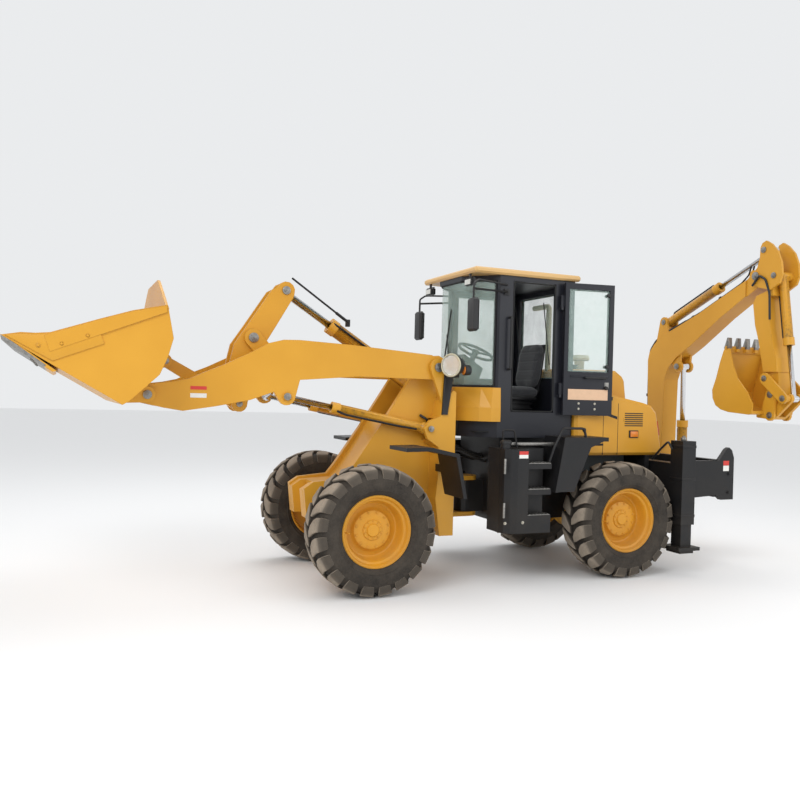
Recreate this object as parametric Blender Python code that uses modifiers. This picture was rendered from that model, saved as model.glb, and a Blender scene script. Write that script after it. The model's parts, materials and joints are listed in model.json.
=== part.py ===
"""Articulated wheel loader with a side-shift backhoe, as named parts on their joint axes.

Metres, +Z up, +X towards the loader bucket, +Y to the machine's left. Heights are counted from
the axle line. Front-body parts count x from the front axle, rear-body parts from the rear axle.
"""
from math import atan2, cos, hypot, pi, radians, sin

import bmesh
import bpy
from mathutils import Matrix, Vector

# Driving sizes
TYRE_RADIUS = 0.5875
TYRE_WIDTH = 0.42
RIM_RADIUS = 0.3275
TRACK = 1.64
WHEELBASE = 2.74
LOADER_BUCKET_WIDTH = 2.14
CAB_WIDTH = 1.12
ROOF_WIDTH = 1.20
ROOF_THICKNESS = 0.06
HOOD_WIDTH = CAB_WIDTH + 0.12
DIG_BUCKET_WIDTH = 0.60
STABILIZER_SPREAD = 1.98
WHEEL_SIDES = 32
BOOM_WIDTH = 0.22
DOOR_OPEN = 170.0
LAMP_Y = 0.64
LAMP_TURN = 30.0

# Underside of both body frames, over the axles
AXLE_TOP = 0.2725

# Working clearances
SEAT = 0.0003
PIN_GAP = 0.0006
SLIDE_GAP = 0.0008
RUN_GAP = 0.006

# The origin is under the middle of the whole box, ahead of and beside the steering hinge
ORIGIN_X = 0.50
ORIGIN_Y = 0.20

# Loader linkage pins (x, z) in the side plane, from the front axle
ARM_PIVOT = (-0.8, 1.4925)
BUCKET_PIN = (1.92, 1.1625)
BUCKET_EAR = (1.73, 1.4675)
CRANK_PIVOT = (0.95, 1.7125)
CRANK_TOP = (0.64, 2.1775)
CRANK_LOW = (1.06, 1.0925)
TILT_BASE = (-0.72, 1.3175)
LIFT_BASE = (-0.73, 0.8925)
LIFT_EYE = (0.7, 1.1725)
LIFT_Y = 0.345
ARM_Y = 0.42
ARM_THICK = 0.045
WHEEL_Y = TRACK / 2

# Backhoe pins (y, z) in its own plane, which stands across the machine behind the rear axle
HOE_X = -1.71
KING_Y = -0.76
BOOM_FOOT = (-0.5, 0.4625)
BOOM_CYL_BASE = (-0.13, 0.1325)
BOOM_CYL_EYE = (-0.15, 1.6525)
DIPPER_PIVOT = (1.06, 2.6025)
DIPPER_CYL_BASE = (-0.42, 2.2125)
DIPPER_CYL_EYE = (1.15, 2.8725)
BUCKET_CYL_BASE = (1.29, 2.5825)
ROCKER_PIVOT = (1.23, 1.4925)
ROCKER_PIN = (1.47, 1.2825)
DIG_PIN = (1.28, 1.3225)
DIG_EAR = (1.28, 1.1025)

# Door hinge line (x, y) and the foot of each of its two knuckles, from the rear axle
DOOR_HINGE = (0.60, CAB_WIDTH / 2 + 0.036)
HINGE_HEIGHTS = (1.2625, 2.1625)

SIDES = (("left", 1), ("right", -1))


# ---------------------------------------------------------------- scene and joint helpers
def clear_scene():
    for item in list(bpy.data.objects):
        bpy.data.objects.remove(item)
    for group in ("Loader", "Cutters"):
        made = bpy.data.collections.new(group)
        bpy.context.scene.collection.children.link(made)
    bpy.data.collections["Cutters"].hide_render = True


PLACES = {}


def axis_point(name, at, parent=None):
    """An empty on a joint axis. `at` is in the body frame that the part's outlines use."""
    empty = bpy.data.objects.new("axis_" + name, None)
    empty.empty_display_size = 0.2
    bpy.data.collections["Loader"].objects.link(empty)
    empty.location = at
    if parent:
        empty.parent = PLACES[parent][0]
        empty.matrix_parent_inverse = Matrix.Translation(-PLACES[parent][1])
    PLACES[name] = (empty, Vector(at))
    return empty


def ride(obj, joint):
    obj.parent = PLACES[joint][0]
    obj.matrix_parent_inverse = Matrix.Translation(-PLACES[joint][1])


def carry(obj, joint):
    """Rides a part and everything its Booleans use."""
    ride(obj, joint)
    for modifier in obj.modifiers:
        if modifier.type == "BOOLEAN":
            carry(modifier.object, joint)


def finish(obj, joint, material):
    carry(obj, joint)
    obj.data.materials.clear()
    obj.data.materials.append(material)
    return obj


# ---------------------------------------------------------------- solid helpers
def solid(name, bm):
    bmesh.ops.recalc_face_normals(bm, faces=bm.faces)
    mesh = bpy.data.meshes.new(name)
    bm.to_mesh(mesh)
    bm.free()
    obj = bpy.data.objects.new(name, mesh)
    bpy.data.collections["Loader"].objects.link(obj)
    return obj


def prism(name, outline, axis, low, high, bevel=0.0):
    """Extrudes an outline along an axis; the outline holds the other two coordinates."""
    slot = "xyz".index(axis)

    def at(pair, depth):
        point = list(pair)
        point.insert(slot, depth)
        return point

    bm = bmesh.new()
    near = [bm.verts.new(at(p, low)) for p in outline]
    far = [bm.verts.new(at(p, high)) for p in outline]
    bm.faces.new(near)
    bm.faces.new(far)
    for k in range(len(outline)):
        j = (k + 1) % len(outline)
        bm.faces.new((near[k], near[j], far[j], far[k]))
    obj = solid(name, bm)
    if bevel:
        soften(obj, bevel)
    return obj


def box(name, xs, ys, zs, bevel=0.0):
    corners = [(xs[0], zs[0]), (xs[1], zs[0]), (xs[1], zs[1]), (xs[0], zs[1])]
    return prism(name, corners, "y", ys[0], ys[1], bevel)


def loft(name, low_outline, low, high_outline, high):
    """Joins two plan outlines of the same count at two heights."""
    bm = bmesh.new()
    under = [bm.verts.new((x, y, low)) for x, y in low_outline]
    over = [bm.verts.new((x, y, high)) for x, y in high_outline]
    bm.faces.new(under)
    bm.faces.new(over)
    for k in range(len(under)):
        j = (k + 1) % len(under)
        bm.faces.new((under[k], under[j], over[j], over[k]))
    return solid(name, bm)


def rod(name, start, end, radius, segments=20, end_radius=None):
    start, end = Vector(start), Vector(end)
    along = end - start
    turn = along.to_track_quat("Z", "Y").to_matrix().to_4x4()
    place = Matrix.Translation((start + end) / 2) @ turn
    bm = bmesh.new()
    bmesh.ops.create_cone(bm, cap_ends=True, segments=segments, radius1=radius,
                          radius2=radius if end_radius is None else end_radius,
                          depth=along.length, matrix=place)
    return solid(name, bm)


def turned(name, profile, centre, segments, axis="y"):
    """Revolves (radius, along) points about an axis; points on the axis close the ends."""
    bm = bmesh.new()
    rows = []
    for radius, along in profile:
        count = segments if radius > 0 else 1
        row = []
        for k in range(count):
            angle = 2 * pi * k / segments
            u, w = radius * cos(angle), radius * sin(angle)
            point = {"y": (u, along, w), "z": (u, w, along), "x": (along, u, w)}[axis]
            row.append(bm.verts.new(Vector(centre) + Vector(point)))
        rows.append(row)
    ring = profile[0][0] > 0
    for k in range(len(rows) if ring else len(rows) - 1):
        one, two = rows[k], rows[(k + 1) % len(rows)]
        for s in range(segments):
            t = (s + 1) % segments
            if len(one) == 1:
                bm.faces.new((one[0], two[s], two[t]))
            elif len(two) == 1:
                bm.faces.new((one[s], one[t], two[0]))
            else:
                bm.faces.new((one[s], one[t], two[t], two[s]))
    return solid(name, bm)


def soften(obj, width, segments=1, angle=40.0):
    bevel = obj.modifiers.new("Edges", "BEVEL")
    bevel.width = width
    bevel.segments = segments
    bevel.limit_method = "ANGLE"
    bevel.angle_limit = radians(angle)
    return obj


def combine(base, others, operation):
    for other in others:
        for group in list(other.users_collection):
            group.objects.unlink(other)
        bpy.data.collections["Cutters"].objects.link(other)
        other.hide_render = True
        other.display_type = "WIRE"
        step = base.modifiers.new("Shape", "BOOLEAN")
        step.operation = operation
        step.solver = "EXACT"
        step.object = other
    return base


def join(base, *others):
    return combine(base, others, "UNION")


def cut(base, *others):
    return combine(base, others, "DIFFERENCE")


def disc(centre, radius, count=14, start=0.0, end=360.0):
    """Outline points of an arc or a whole circle."""
    whole = abs(end - start) >= 360
    steps = count if whole else count - 1
    return [(centre[0] + radius * cos(radians(start + (end - start) * k / steps)),
             centre[1] + radius * sin(radians(start + (end - start) * k / steps)))
            for k in range(count)]


def strap(one, two, radius_one, radius_two, count=7):
    """Outline of a bar with round ends between two pins."""
    heading = atan2(two[1] - one[1], two[0] - one[0]) * 180 / pi
    return (disc(two, radius_two, count, heading - 90, heading + 90)
            + disc(one, radius_one, count, heading + 90, heading + 270))


def inset(outline, amount):
    """Moves each side of a counter-clockwise outline inwards."""
    made = []
    for k, here in enumerate(outline):
        back, ahead = outline[k - 1], outline[(k + 1) % len(outline)]
        sides = []
        for a, b in ((back, here), (here, ahead)):
            length = hypot(b[0] - a[0], b[1] - a[1])
            normal = (-(b[1] - a[1]) / length, (b[0] - a[0]) / length)
            sides.append((a[0] + normal[0] * amount, a[1] + normal[1] * amount,
                          b[0] - a[0], b[1] - a[1]))
        (ax, ay, au, av), (bx, by, bu, bv) = sides
        cross = au * bv - av * bu
        if abs(cross) < 1e-9:
            made.append((bx, by))
            continue
        t = ((bx - ax) * bv - (by - ay) * bu) / cross
        made.append((ax + au * t, ay + av * t))
    return made


def along(start, end, distance):
    """The point this far from start towards end."""
    length = hypot(end[0] - start[0], end[1] - start[1])
    return tuple(a + (b - a) * distance / length for a, b in zip(start, end))


def lift3(pair, plane, depth):
    """A pin position as a 3-D point: plane 'y' takes (x, z), plane 'x' takes (y, z)."""
    return (pair[0], depth, pair[1]) if plane == "y" else (depth, pair[0], pair[1])


def across(name, pin, plane, low, high, radius, segments=18):
    """A round boss or pin along the plane's normal."""
    return rod(name, lift3(pin, plane, low), lift3(pin, plane, high), radius, segments)


# ---------------------------------------------------------------- materials
def coat(name, colour, metallic=0.0, roughness=0.5):
    material = bpy.data.materials.new(name)
    material.use_nodes = True
    shader = material.node_tree.nodes["Principled BSDF"]
    shader.inputs["Base Color"].default_value = (*colour, 1.0)
    shader.inputs["Metallic"].default_value = metallic
    shader.inputs["Roughness"].default_value = roughness
    material.diffuse_color = (*colour, 1.0)
    return material


def make_materials():
    return {
        "yellow": coat("yellow_paint", (0.78, 0.38, 0.03), 0.0, 0.4),
        "pale": coat("roof_paint", (0.85, 0.55, 0.16), 0.0, 0.45),
        "black": coat("black_paint", (0.025, 0.025, 0.028), 0.0, 0.45),
        "cab": coat("cab_paint", (0.03, 0.032, 0.04), 0.0, 0.4),
        "rubber": coat("tyre_rubber", (0.03, 0.026, 0.024), 0.0, 0.85),
        "chrome": coat("rod_chrome", (0.75, 0.75, 0.76), 1.0, 0.15),
        "cloth": coat("seat_cloth", (0.02, 0.02, 0.022), 0.0, 0.9),
        "plastic": coat("black_plastic", (0.02, 0.02, 0.02), 0.0, 0.55),
        "iron": coat("engine_iron", (0.10, 0.11, 0.11), 0.3, 0.6),
        "beige": coat("intake_beige", (0.55, 0.52, 0.40), 0.0, 0.5),
    }


# ---------------------------------------------------------------- wheels and axles
def make_wheel(prefix, joint, side, paints):
    y = side * WHEEL_Y
    bead = RIM_RADIUS - 0.0147
    rim = [(0, 0.075), (0.09, 0.075), (0.095, 0.048), (0.175, 0.045), (0.19, 0.02), (0.25, 0.0),
           (RIM_RADIUS - 0.035, 0.13), (RIM_RADIUS - 0.012, 0.17), (RIM_RADIUS, 0.17),
           (RIM_RADIUS, 0.150), (bead, 0.148), (bead, -0.148), (RIM_RADIUS, -0.150),
           (RIM_RADIUS, -0.17), (RIM_RADIUS - 0.035, -0.165), (RIM_RADIUS - 0.045, -0.04),
           (0, -0.04)]
    half = TYRE_WIDTH / 2
    seat = bead + SEAT
    wall = RIM_RADIUS + 0.0045
    crown = [(TYRE_RADIUS, 0.62 * half), (TYRE_RADIUS - 0.03, 0.90 * half),
             (TYRE_RADIUS - 0.09, half), (wall + 0.09, 0.97 * half), (wall + 0.010, 0.84 * half),
             (wall, 0.69 * half), (seat, 0.69 * half)]
    tyre = crown + [(r, -a) for r, a in reversed(crown)]
    disc_part = turned(prefix + "_rim", [(r, a * side) for r, a in rim], (0, y, 0), WHEEL_SIDES)
    tyre_part = turned(prefix + "_tyre", [(r, a * side) for r, a in tyre], (0, y, 0), WHEEL_SIDES)
    finish(disc_part, joint, paints["yellow"])
    finish(tyre_part, joint, paints["rubber"])


def make_axle(name, joint, nose, paints):
    end = WHEEL_Y - 0.04 - SEAT
    half = [(0, end), (0.10, end), (0.10, end - 0.05), (0.16, end - 0.06), (0.16, end - 0.19),
            (0.085, end - 0.22), (0.08, 0.30), (0.18, 0.17), (0.215, 0.06)]
    axle = turned(name, half + [(r, -a) for r, a in reversed(half)], (0, 0, 0), 24)
    saddle = box(name + "_saddle", (-0.09, 0.09), (-0.21, 0.21), (0.0, AXLE_TOP - SEAT))
    join(axle, saddle, rod(name + "_nose", (0, 0, 0), (nose * 0.28, 0, 0), 0.13, 18, 0.07))
    finish(axle, joint, paints["yellow"])


# ---------------------------------------------------------------- front body
def make_front_frame(paints):
    hinge = -WHEELBASE / 2
    body = prism("front_frame", [(-1.1, -0.0375), (-0.35, -0.0375), (-0.28, 0.2725), (0.26, 0.2725),
                 (0.3, 0.0325), (0.44, 0.0325), (0.47, 0.2925), (0.38, 0.3525), (0.06, 0.3725), (-0.03, 0.4725),
                 (-0.35, 0.9525),
                 (-0.5, 1.0125), (-0.6, 0.4125), (-1.1, 0.4125)], "y", -0.235, 0.235)
    ears = []
    for low, high in ((-0.0325, 0.0125), (0.3425, 0.3875)):
        ears.append(prism("hinge_ear", [(-1.06, -0.14), (-1.06, 0.14)]
                          + disc((hinge, 0), 0.13, 9, 90, 270), "z", low, high))
    join(body, *ears)
    for name, side in SIDES:
        tower = [(-1, -0.1575), (-0.84, -0.1575), (-0.68, 0.0125), (-0.35, 0.1125), (-0.28, 0.2725),
                 (0.26, 0.2725), (0.3, 0.0325), (0.44, 0.0325), (0.47, 0.3125), (0.38, 0.3725),
                 (0.08, 0.4025), (0, 0.5025), (-0.34, 0.9925), (-0.6, 1.3925)]
        tower += disc(ARM_PIVOT, 0.10, 7, 0, 150) + [(-0.96, 1.4325), (-1, 1.3525)]
        plate = prism("tower_plate", tower, "y", side * 0.23, side * 0.29)
        column = [(-1, -0.1575), (-0.85, -0.1575), (-0.8, 0.2125), (-0.82, 0.4125), (-0.82, 0.7125),
                  (-0.7, 0.7925), (-0.66, 0.8925), (-0.72, 0.9725), (-0.83, 1.0125), (-0.86, 1.1725),
                  (-0.97, 1.2725), (-1, 1.2525)]
        leg = prism("tower_leg", column, "y", side * 0.28, side * 0.495)
        room = prism("lift_room", [(-0.815, 0.8025), (-0.5, 0.7125), (-0.5, 1.1125),
                              (-0.815, 0.9825)], "y", side * 0.29, side * 0.45)
        cut(leg, room)
        ear = prism("pivot_ear", disc(ARM_PIVOT, 0.085, 9, -20, 200)
                    + [(-0.9, 1.1625), (-0.86, 1.1125)], "y", side * 0.452, side * 0.49)
        pin = across("pivot_pin", ARM_PIVOT, "y", side * 0.26, side * 0.50, 0.035)
        knob = across("lift_pin", LIFT_BASE, "y", side * 0.27, side * 0.505, 0.025)
        join(body, plate, leg, ear, pin, knob)
    beam = box("tower_beam", (-0.98, -0.8), (-0.26, 0.26), (0.6125, 1.3625))
    join(body, beam)
    for side in (-1, 1):
        lug = prism("tilt_lug", disc(TILT_BASE, 0.075, 9, -110, 100)
                    + [(-0.85, 1.3625), (-0.85, 1.2125)], "y", side * 0.075, side * 0.105)
        join(body, lug)
    cut(body, box("link_slot", (0.33, 0.60), (-0.13, 0.13), (-0.10, 0.45)))
    return finish(body, "front", paints["yellow"])


def make_front_trim(paints):
    for name, side in SIDES:
        guard = prism("front_fender_" + name, [(-0.25, 0.7425), (-0.5, 0.7475), (-0.78, 0.6875),
                      (-0.87, 0.2725), (-0.835, 0.2725), (-0.75, 0.6575), (-0.49, 0.7125), (-0.25, 0.7075)],
                      "y", side * 0.62, side * 1.02)
        arm = box("fender_arm", (-0.89, -0.79), (side * (0.495 + SEAT), side * 0.64),
                  (0.4825, 0.5525))
        finish(join(guard, arm), "front", paints["black"])
        lamp = (-0.88, 1.5125)
        shell = [(0, -0.15), (0.035, -0.15), (0.075, -0.11), (0.105, -0.02), (0.115, 0.02),
                 (0.115, 0.035), (0.099, 0.035), (0.097, 0.022), (0, 0.018)]
        housing = turned("headlamp_" + name, shell, (0, 0, 0), 20, "x")
        housing.data.transform(Matrix.Translation((lamp[0], side * LAMP_Y, lamp[1]))
                               @ Matrix.Rotation(radians(side * LAMP_TURN), 4, "Z"))
        stem = prism("lamp_stem", [(-0.9, 1.0325), (-0.84, 1.0325), (-0.86, 1.4525), (-0.96, 1.4525)],
                     "y", side * (0.495 + SEAT), side * 0.515)
        shelf = box("lamp_shelf", (-0.95, -0.87), (side * 0.50, side * LAMP_Y), (1.3975, 1.4325))
        marker = turned("marker_lamp", [(0, -0.03), (0.05, -0.03), (0.055, 0.03), (0, 0.04)],
                        (-1.03, side * LAMP_Y, 1.4725), 14, "x")
        finish(join(housing, stem, shelf, marker), "front", paints["black"])


def make_arms(paints):
    outline = [(1.84, 1.2625), (1.69, 1.2825), (1.56, 1.3125), (1.48, 1.3525), (1.27, 1.4425),
               (1.05, 1.5525), (0.87, 1.6525), (0.74, 1.6875), (0.59, 1.6925), (0.1, 1.6725),
               (-0.41, 1.6375), (-0.75, 1.6125)]
    outline += disc(ARM_PIVOT, 0.12, 7, 70, 260)
    outline += [(-0.68, 1.3745), (0, 1.3775), (0.58, 1.3275)]
    outline += disc(LIFT_EYE, 0.08, 6, 200, 330)
    outline += [(0.82, 1.2125), (1.04, 1.1325), (1.34, 1.0725), (1.62, 1.0275), (1.78, 1.0525)]
    outline += disc(BUCKET_PIN, 0.08, 7, -90, 80)
    tube_at = (0.75, 1.4925)
    arms = across("lift_arms", tube_at, "y", -ARM_Y, ARM_Y, 0.085, 22)
    for side in (-1, 1):
        inner, outer = ARM_Y - ARM_THICK / 2, ARM_Y + ARM_THICK / 2
        plate = prism("arm_plate", outline, "y", side * inner, side * outer)
        boss = across("arm_boss", ARM_PIVOT, "y", side * (0.29 + PIN_GAP),
                      side * (0.452 - PIN_GAP), 0.075)
        nose = across("pin_boss", BUCKET_PIN, "y", side * (0.385 + PIN_GAP),
                      side * (0.455 - PIN_GAP), 0.06)
        knob = across("eye_pin", LIFT_EYE, "y", side * (inner + 0.01), side * (outer + 0.02), 0.04)
        bracket = prism("crank_bracket", disc(CRANK_PIVOT, 0.085, 9, -40, 160)
                        + [(0.72, 1.5725), (0.7, 1.4525), (0.78, 1.4125)], "y",
                        side * 0.115, side * 0.145)
        join(arms, plate, boss, nose, knob, bracket)
    bore = across("pivot_bore", ARM_PIVOT, "y", -0.55, 0.55, 0.0365)
    return finish(cut(arms, bore), "lift", paints["yellow"])


def make_crank(paints):
    crank = across("bellcrank", CRANK_PIVOT, "y", -(0.115 - PIN_GAP), 0.115 - PIN_GAP, 0.07)
    low_front = [(1.16, 1.2125), (1.17, 1.4325), (1.12, 1.6525), (1, 1.8325), (0.78, 2.1725)]
    low_back = [(0.57, 2.1125), (0.72, 1.8525), (0.85, 1.6325), (0.92, 1.3925), (0.97, 1.1925)]
    outline = (disc(CRANK_LOW, 0.075, 6, 200, 340) + low_front
               + disc(CRANK_TOP, 0.085, 7, 20, 200) + low_back)
    for side in (-1, 1):
        join(crank, prism("crank_plate", outline, "y", side * 0.082, side * 0.110))
    return finish(crank, "crank", paints["yellow"])


def make_link(paints):
    bar = prism("bucket_link", strap(CRANK_LOW, BUCKET_EAR, 0.06, 0.048, 8), "y", -0.035, 0.035)
    low = across("link_boss", CRANK_LOW, "y", -(0.082 - PIN_GAP), 0.082 - PIN_GAP, 0.05)
    return finish(join(bar, low), "link", paints["yellow"])


def make_loader_bucket(paints):
    outer = [(1.84, 1.8725), (1.79, 1.6125), (1.83, 1.4625), (1.89, 1.3225), (2.11, 1.1125), (2.16, 1.0825),
             (2.68, 1.3825), (3.01, 1.5775)]
    cheek = outer + [(2.88, 1.6025), (2.78, 1.6025), (2.68, 1.6125), (2.34, 1.7325), (2.1, 1.8125)]
    cavity = [(1.863, 2.0125), (1.816, 1.6175), (1.855, 1.4745), (1.913, 1.3375), (2.125, 1.1375),
              (2.16, 1.1125), (2.67, 1.4065), (2.97, 1.5845), (3.3, 2.0325)]
    half = LOADER_BUCKET_WIDTH / 2 - 0.012
    bucket = prism("loader_bucket", cheek, "y", -half, half)
    cut(bucket, prism("bucket_room", cavity, "y", -(half - 0.02), half - 0.02))
    ribs = []
    for name, side in SIDES:
        for low, high in ((0.355, 0.385), (0.455, 0.485)):
            ear = disc(BUCKET_PIN, 0.07, 8, 90, 250) + [(2.12, 1.0875), (2.13, 1.1175),
                                                       (1.9, 1.3275), (1.86, 1.4025)]
            ribs.append(prism("pin_ear", ear, "y", side * low, side * high))
        ear = disc(BUCKET_EAR, 0.06, 8, 100, 270) + [(1.86, 1.3725), (1.875, 1.3875),
                                                    (1.82, 1.5225), (1.805, 1.5725)]
        ribs.append(prism("link_ear", ear, "y", side * 0.045, side * 0.075))
    crest = prism("spill_guard", [(-half + 0.03, 1.8425), (half - 0.03, 1.8425),
                  (0.45, 2.1125), (0.36, 2.1475), (-0.36, 2.1475), (-0.45, 2.1125)],
                  "x", 1.825, 1.848)
    join(bucket, *ribs, crest)
    for side in (-1, 1):
        strip = prism("cheek_strip", [(1.845, 1.8125), (2.68, 1.4675), (2.72, 1.5875), (2.34, 1.7245),
                      (2.1, 1.8045), (1.847, 1.8625)], "y", side * (half - 0.005), side * (half + 0.012))
        join(bucket, strip)
    blade = prism("blade", [(2.63, 1.3275), (2.655, 1.3175), (3, 1.5425), (3.015, 1.5825),
                  (2.97, 1.5675)], "y", -half + 0.004, half - 0.004)
    join(bucket, blade)
    return finish(bucket, "bucket", paints["yellow"])


def make_cylinder(prefix, pins, plane, depth, sizes, reach, joints, paints, eyes, bore=0.0):
    """A barrel on its base pin and its rod; `reach` is (gland distance, retraction)."""
    base, eye = pins
    barrel_radius, rod_radius = sizes
    gland, retract = reach
    base_radius, base_half, eye_radius, eye_half = eyes
    length = hypot(eye[0] - base[0], eye[1] - base[1])

    def point(distance):
        return lift3(along(base, eye, distance), plane, depth)

    barrel = rod(prefix + "_barrel", point(0.01), point(gland), barrel_radius, 20)
    collar = rod("gland", point(gland - 0.07), point(gland + 0.012), barrel_radius + 0.008, 20)
    foot = across("base_eye", base, plane, depth - base_half, depth + base_half, base_radius)
    join(barrel, collar, foot)
    tail = base_radius + 0.04 + retract
    hole = rod("rod_hole", point(tail - retract - 0.02), point(gland + 0.05),
               rod_radius + SLIDE_GAP, 18)
    cut(barrel, hole)
    if bore:
        cut(barrel, across("base_bore", base, plane, depth - 0.3, depth + 0.3, bore))
    shaft = rod(prefix + "_rod", point(tail), point(length - 0.5 * eye_radius), rod_radius, 18)
    join(shaft, across("rod_eye", eye, plane, depth - eye_half, depth + eye_half, eye_radius))
    finish(barrel, joints[0], paints["yellow"])
    finish(shaft, joints[1], paints["chrome"])
    return barrel, shaft


def make_loader_cylinders(paints):
    for name, side in SIDES:
        low, high = sorted((side * (0.29 + PIN_GAP), side * (0.45 - PIN_GAP)))
        barrel, shaft = make_cylinder(
            "lift_" + name, (LIFT_BASE, LIFT_EYE), "y", side * LIFT_Y, (0.045, 0.027),
            (0.98, 0.35), ("lift_barrel_" + name, "lift_rod_" + name), paints,
            (0.06, 0.045, 0.05, 0.04), 0.0268)
        washer = across("base_washer", LIFT_BASE, "y", low, high, 0.04)
        bore = across("washer_bore", LIFT_BASE, "y", side * 0.2, side * 0.6, 0.0268)
        cut(washer, bore)
        carry(join(barrel, washer), "lift_barrel_" + name)
    make_cylinder("tilt", (TILT_BASE, CRANK_TOP), "y", 0.0, (0.072, 0.036), (1.045, 0.484),
                  ("tilt_barrel", "tilt_rod"), paints, (0.065, 0.075 - PIN_GAP, 0.055, 0.076))


# ---------------------------------------------------------------- rear body
def make_rear_frame(paints):
    hinge = WHEELBASE / 2
    body = prism("rear_frame", [(1.2, -0.0575), (1.2, 0.4125), (-0.5797, 0.4125), (-0.5797, 0.0125),
                 (-0.3, 0.0125), (-0.26, 0.2725), (0.26, 0.2725), (0.3, -0.0575)], "y", -0.30, 0.30)
    nose = prism("hinge_nose", [(0.80, -0.11), (hinge, -0.11)]
                 + disc((hinge, 0), 0.11, 7, -75, 75) + [(hinge, 0.11), (0.80, 0.11)],
                 "z", 0.0125 + PIN_GAP, 0.3425 - PIN_GAP)
    mounts = prism("cab_mounts", [(1.2, 0.3925), (1.2, 0.8122), (0.44, 0.8122), (0.44, 0.3925)],
                   "y", -0.42, 0.42)
    bar = box("tank_bar", (0.98, 1.1), (-0.60 + SEAT, 0.60 - SEAT), (0.2125, 0.3325))
    join(body, nose, mounts, bar)
    for side in (-1, 1):
        post = box("fender_post", (0.64, 0.72), (side * 0.40, side * 0.70), (0.6625, 0.7225))
        join(body, post)
    join(body, box("hood_bar", (-0.575, -0.52), (-0.60, 0.60), (0.3525, 0.6325 - SEAT)))
    return finish(body, "rear", paints["black"])


def cab_outline(grow=0.0):
    half = CAB_WIDTH / 2 + grow
    nose, back = 1.59 + grow, 0.42 - grow
    corner = 1.31
    return [(nose, -0.25 - 0.4 * grow), (nose, 0.25 + 0.4 * grow), (corner + 0.4 * grow, half),
            (back, half), (back, -half), (corner + 0.4 * grow, -half)]


def make_cab(paints):
    low, top = 0.8125, 2.4405
    shell = prism("cab_shell", cab_outline(), "z", low, top)
    cut(shell, prism("cab_room", inset(cab_outline(), 0.045), "z", low + 0.05, top - 0.04))
    half = CAB_WIDTH / 2
    head = 2.3425
    corner = 1.31
    nose = box("front_opening", (corner + 0.02, corner + 0.6), (-0.8, 0.8), (1.3225, 2.3925))
    back = box("rear_window", (0.24, 0.54), (-0.44, 0.44), (1.4325, head))
    entry = box("doorway", (0.65, 1.16), (0.35, 0.8), (1.0725, 2.3925))
    side = box("side_window", (0.52, 1.22), (-0.8, -0.35), (1.4125, head))
    cut(shell, nose, back, entry, side)
    x, y = DOOR_HINGE
    for foot in HINGE_HEIGHTS:
        join(shell, box("hinge_tab", (x - 0.014, x + 0.014), (half - 0.01, y + 0.016),
                        (foot - 0.03, foot - PIN_GAP)))
    return finish(shell, "rear", paints["cab"])


def make_cowl(paints):
    low = [(1.675, -0.25), (1.675, 0.25), (1.485, 0.495), (1.39, 0.575),
           (1.28, 0.575), (1.28, -0.575), (1.39, -0.575), (1.485, -0.495)]
    high = [(1.63, -0.25), (1.63, 0.25), (1.45, 0.465), (1.37, 0.565),
            (1.28, 0.565), (1.28, -0.565), (1.37, -0.565), (1.45, -0.465)]
    deck = prism("cowl", low, "z", 0.9725, 1.1125)
    slope = loft("cowl_slope", low, 1.1025, high, 1.3125)
    room = prism("cab_space", cab_outline(SEAT), "z", 0.7125, 1.5125)
    return finish(cut(join(deck, slope), room), "rear", paints["yellow"])


def make_roof(paints):
    half = ROOF_WIDTH / 2
    low = 2.4405 + SEAT
    roof = box("cab_roof", (0.37, 1.62), (-half, half), (low, low + ROOF_THICKNESS))
    soften(roof, 0.018)
    return finish(roof, "rear", paints["pale"])


def make_door(paints):
    """Built shut, then swung back on its hinge line the way it stands."""
    half = CAB_WIDTH / 2 + RUN_GAP
    hinge = Vector((DOOR_HINGE[0], DOOR_HINGE[1], 0))
    front = 1.175
    door = box("cab_door", (hinge.x + 0.026, front), (half, half + 0.036), (1.0525, 2.4125))
    pane = box("door_pane", (hinge.x + 0.07, front - 0.05), (half - 0.1, half + 0.1),
               (1.5025, 2.3525))
    cut(door, pane)
    knuckles = []
    for low in HINGE_HEIGHTS:
        knuckles.append(rod("knuckle", (hinge.x, hinge.y, low), (hinge.x, hinge.y, low + 0.12),
                            0.016, 12))
        knuckles.append(box("knuckle_arm", (hinge.x, hinge.x + 0.04),
                            (hinge.y - 0.010, hinge.y + 0.004), (low + 0.002, low + 0.118)))
    join(door, *knuckles)
    swing = (Matrix.Translation(hinge) @ Matrix.Rotation(radians(DOOR_OPEN), 4, "Z")
             @ Matrix.Translation(-hinge))
    for piece in (door, pane, *knuckles):
        piece.data.transform(swing)
    return finish(door, "door", paints["cab"])


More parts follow.
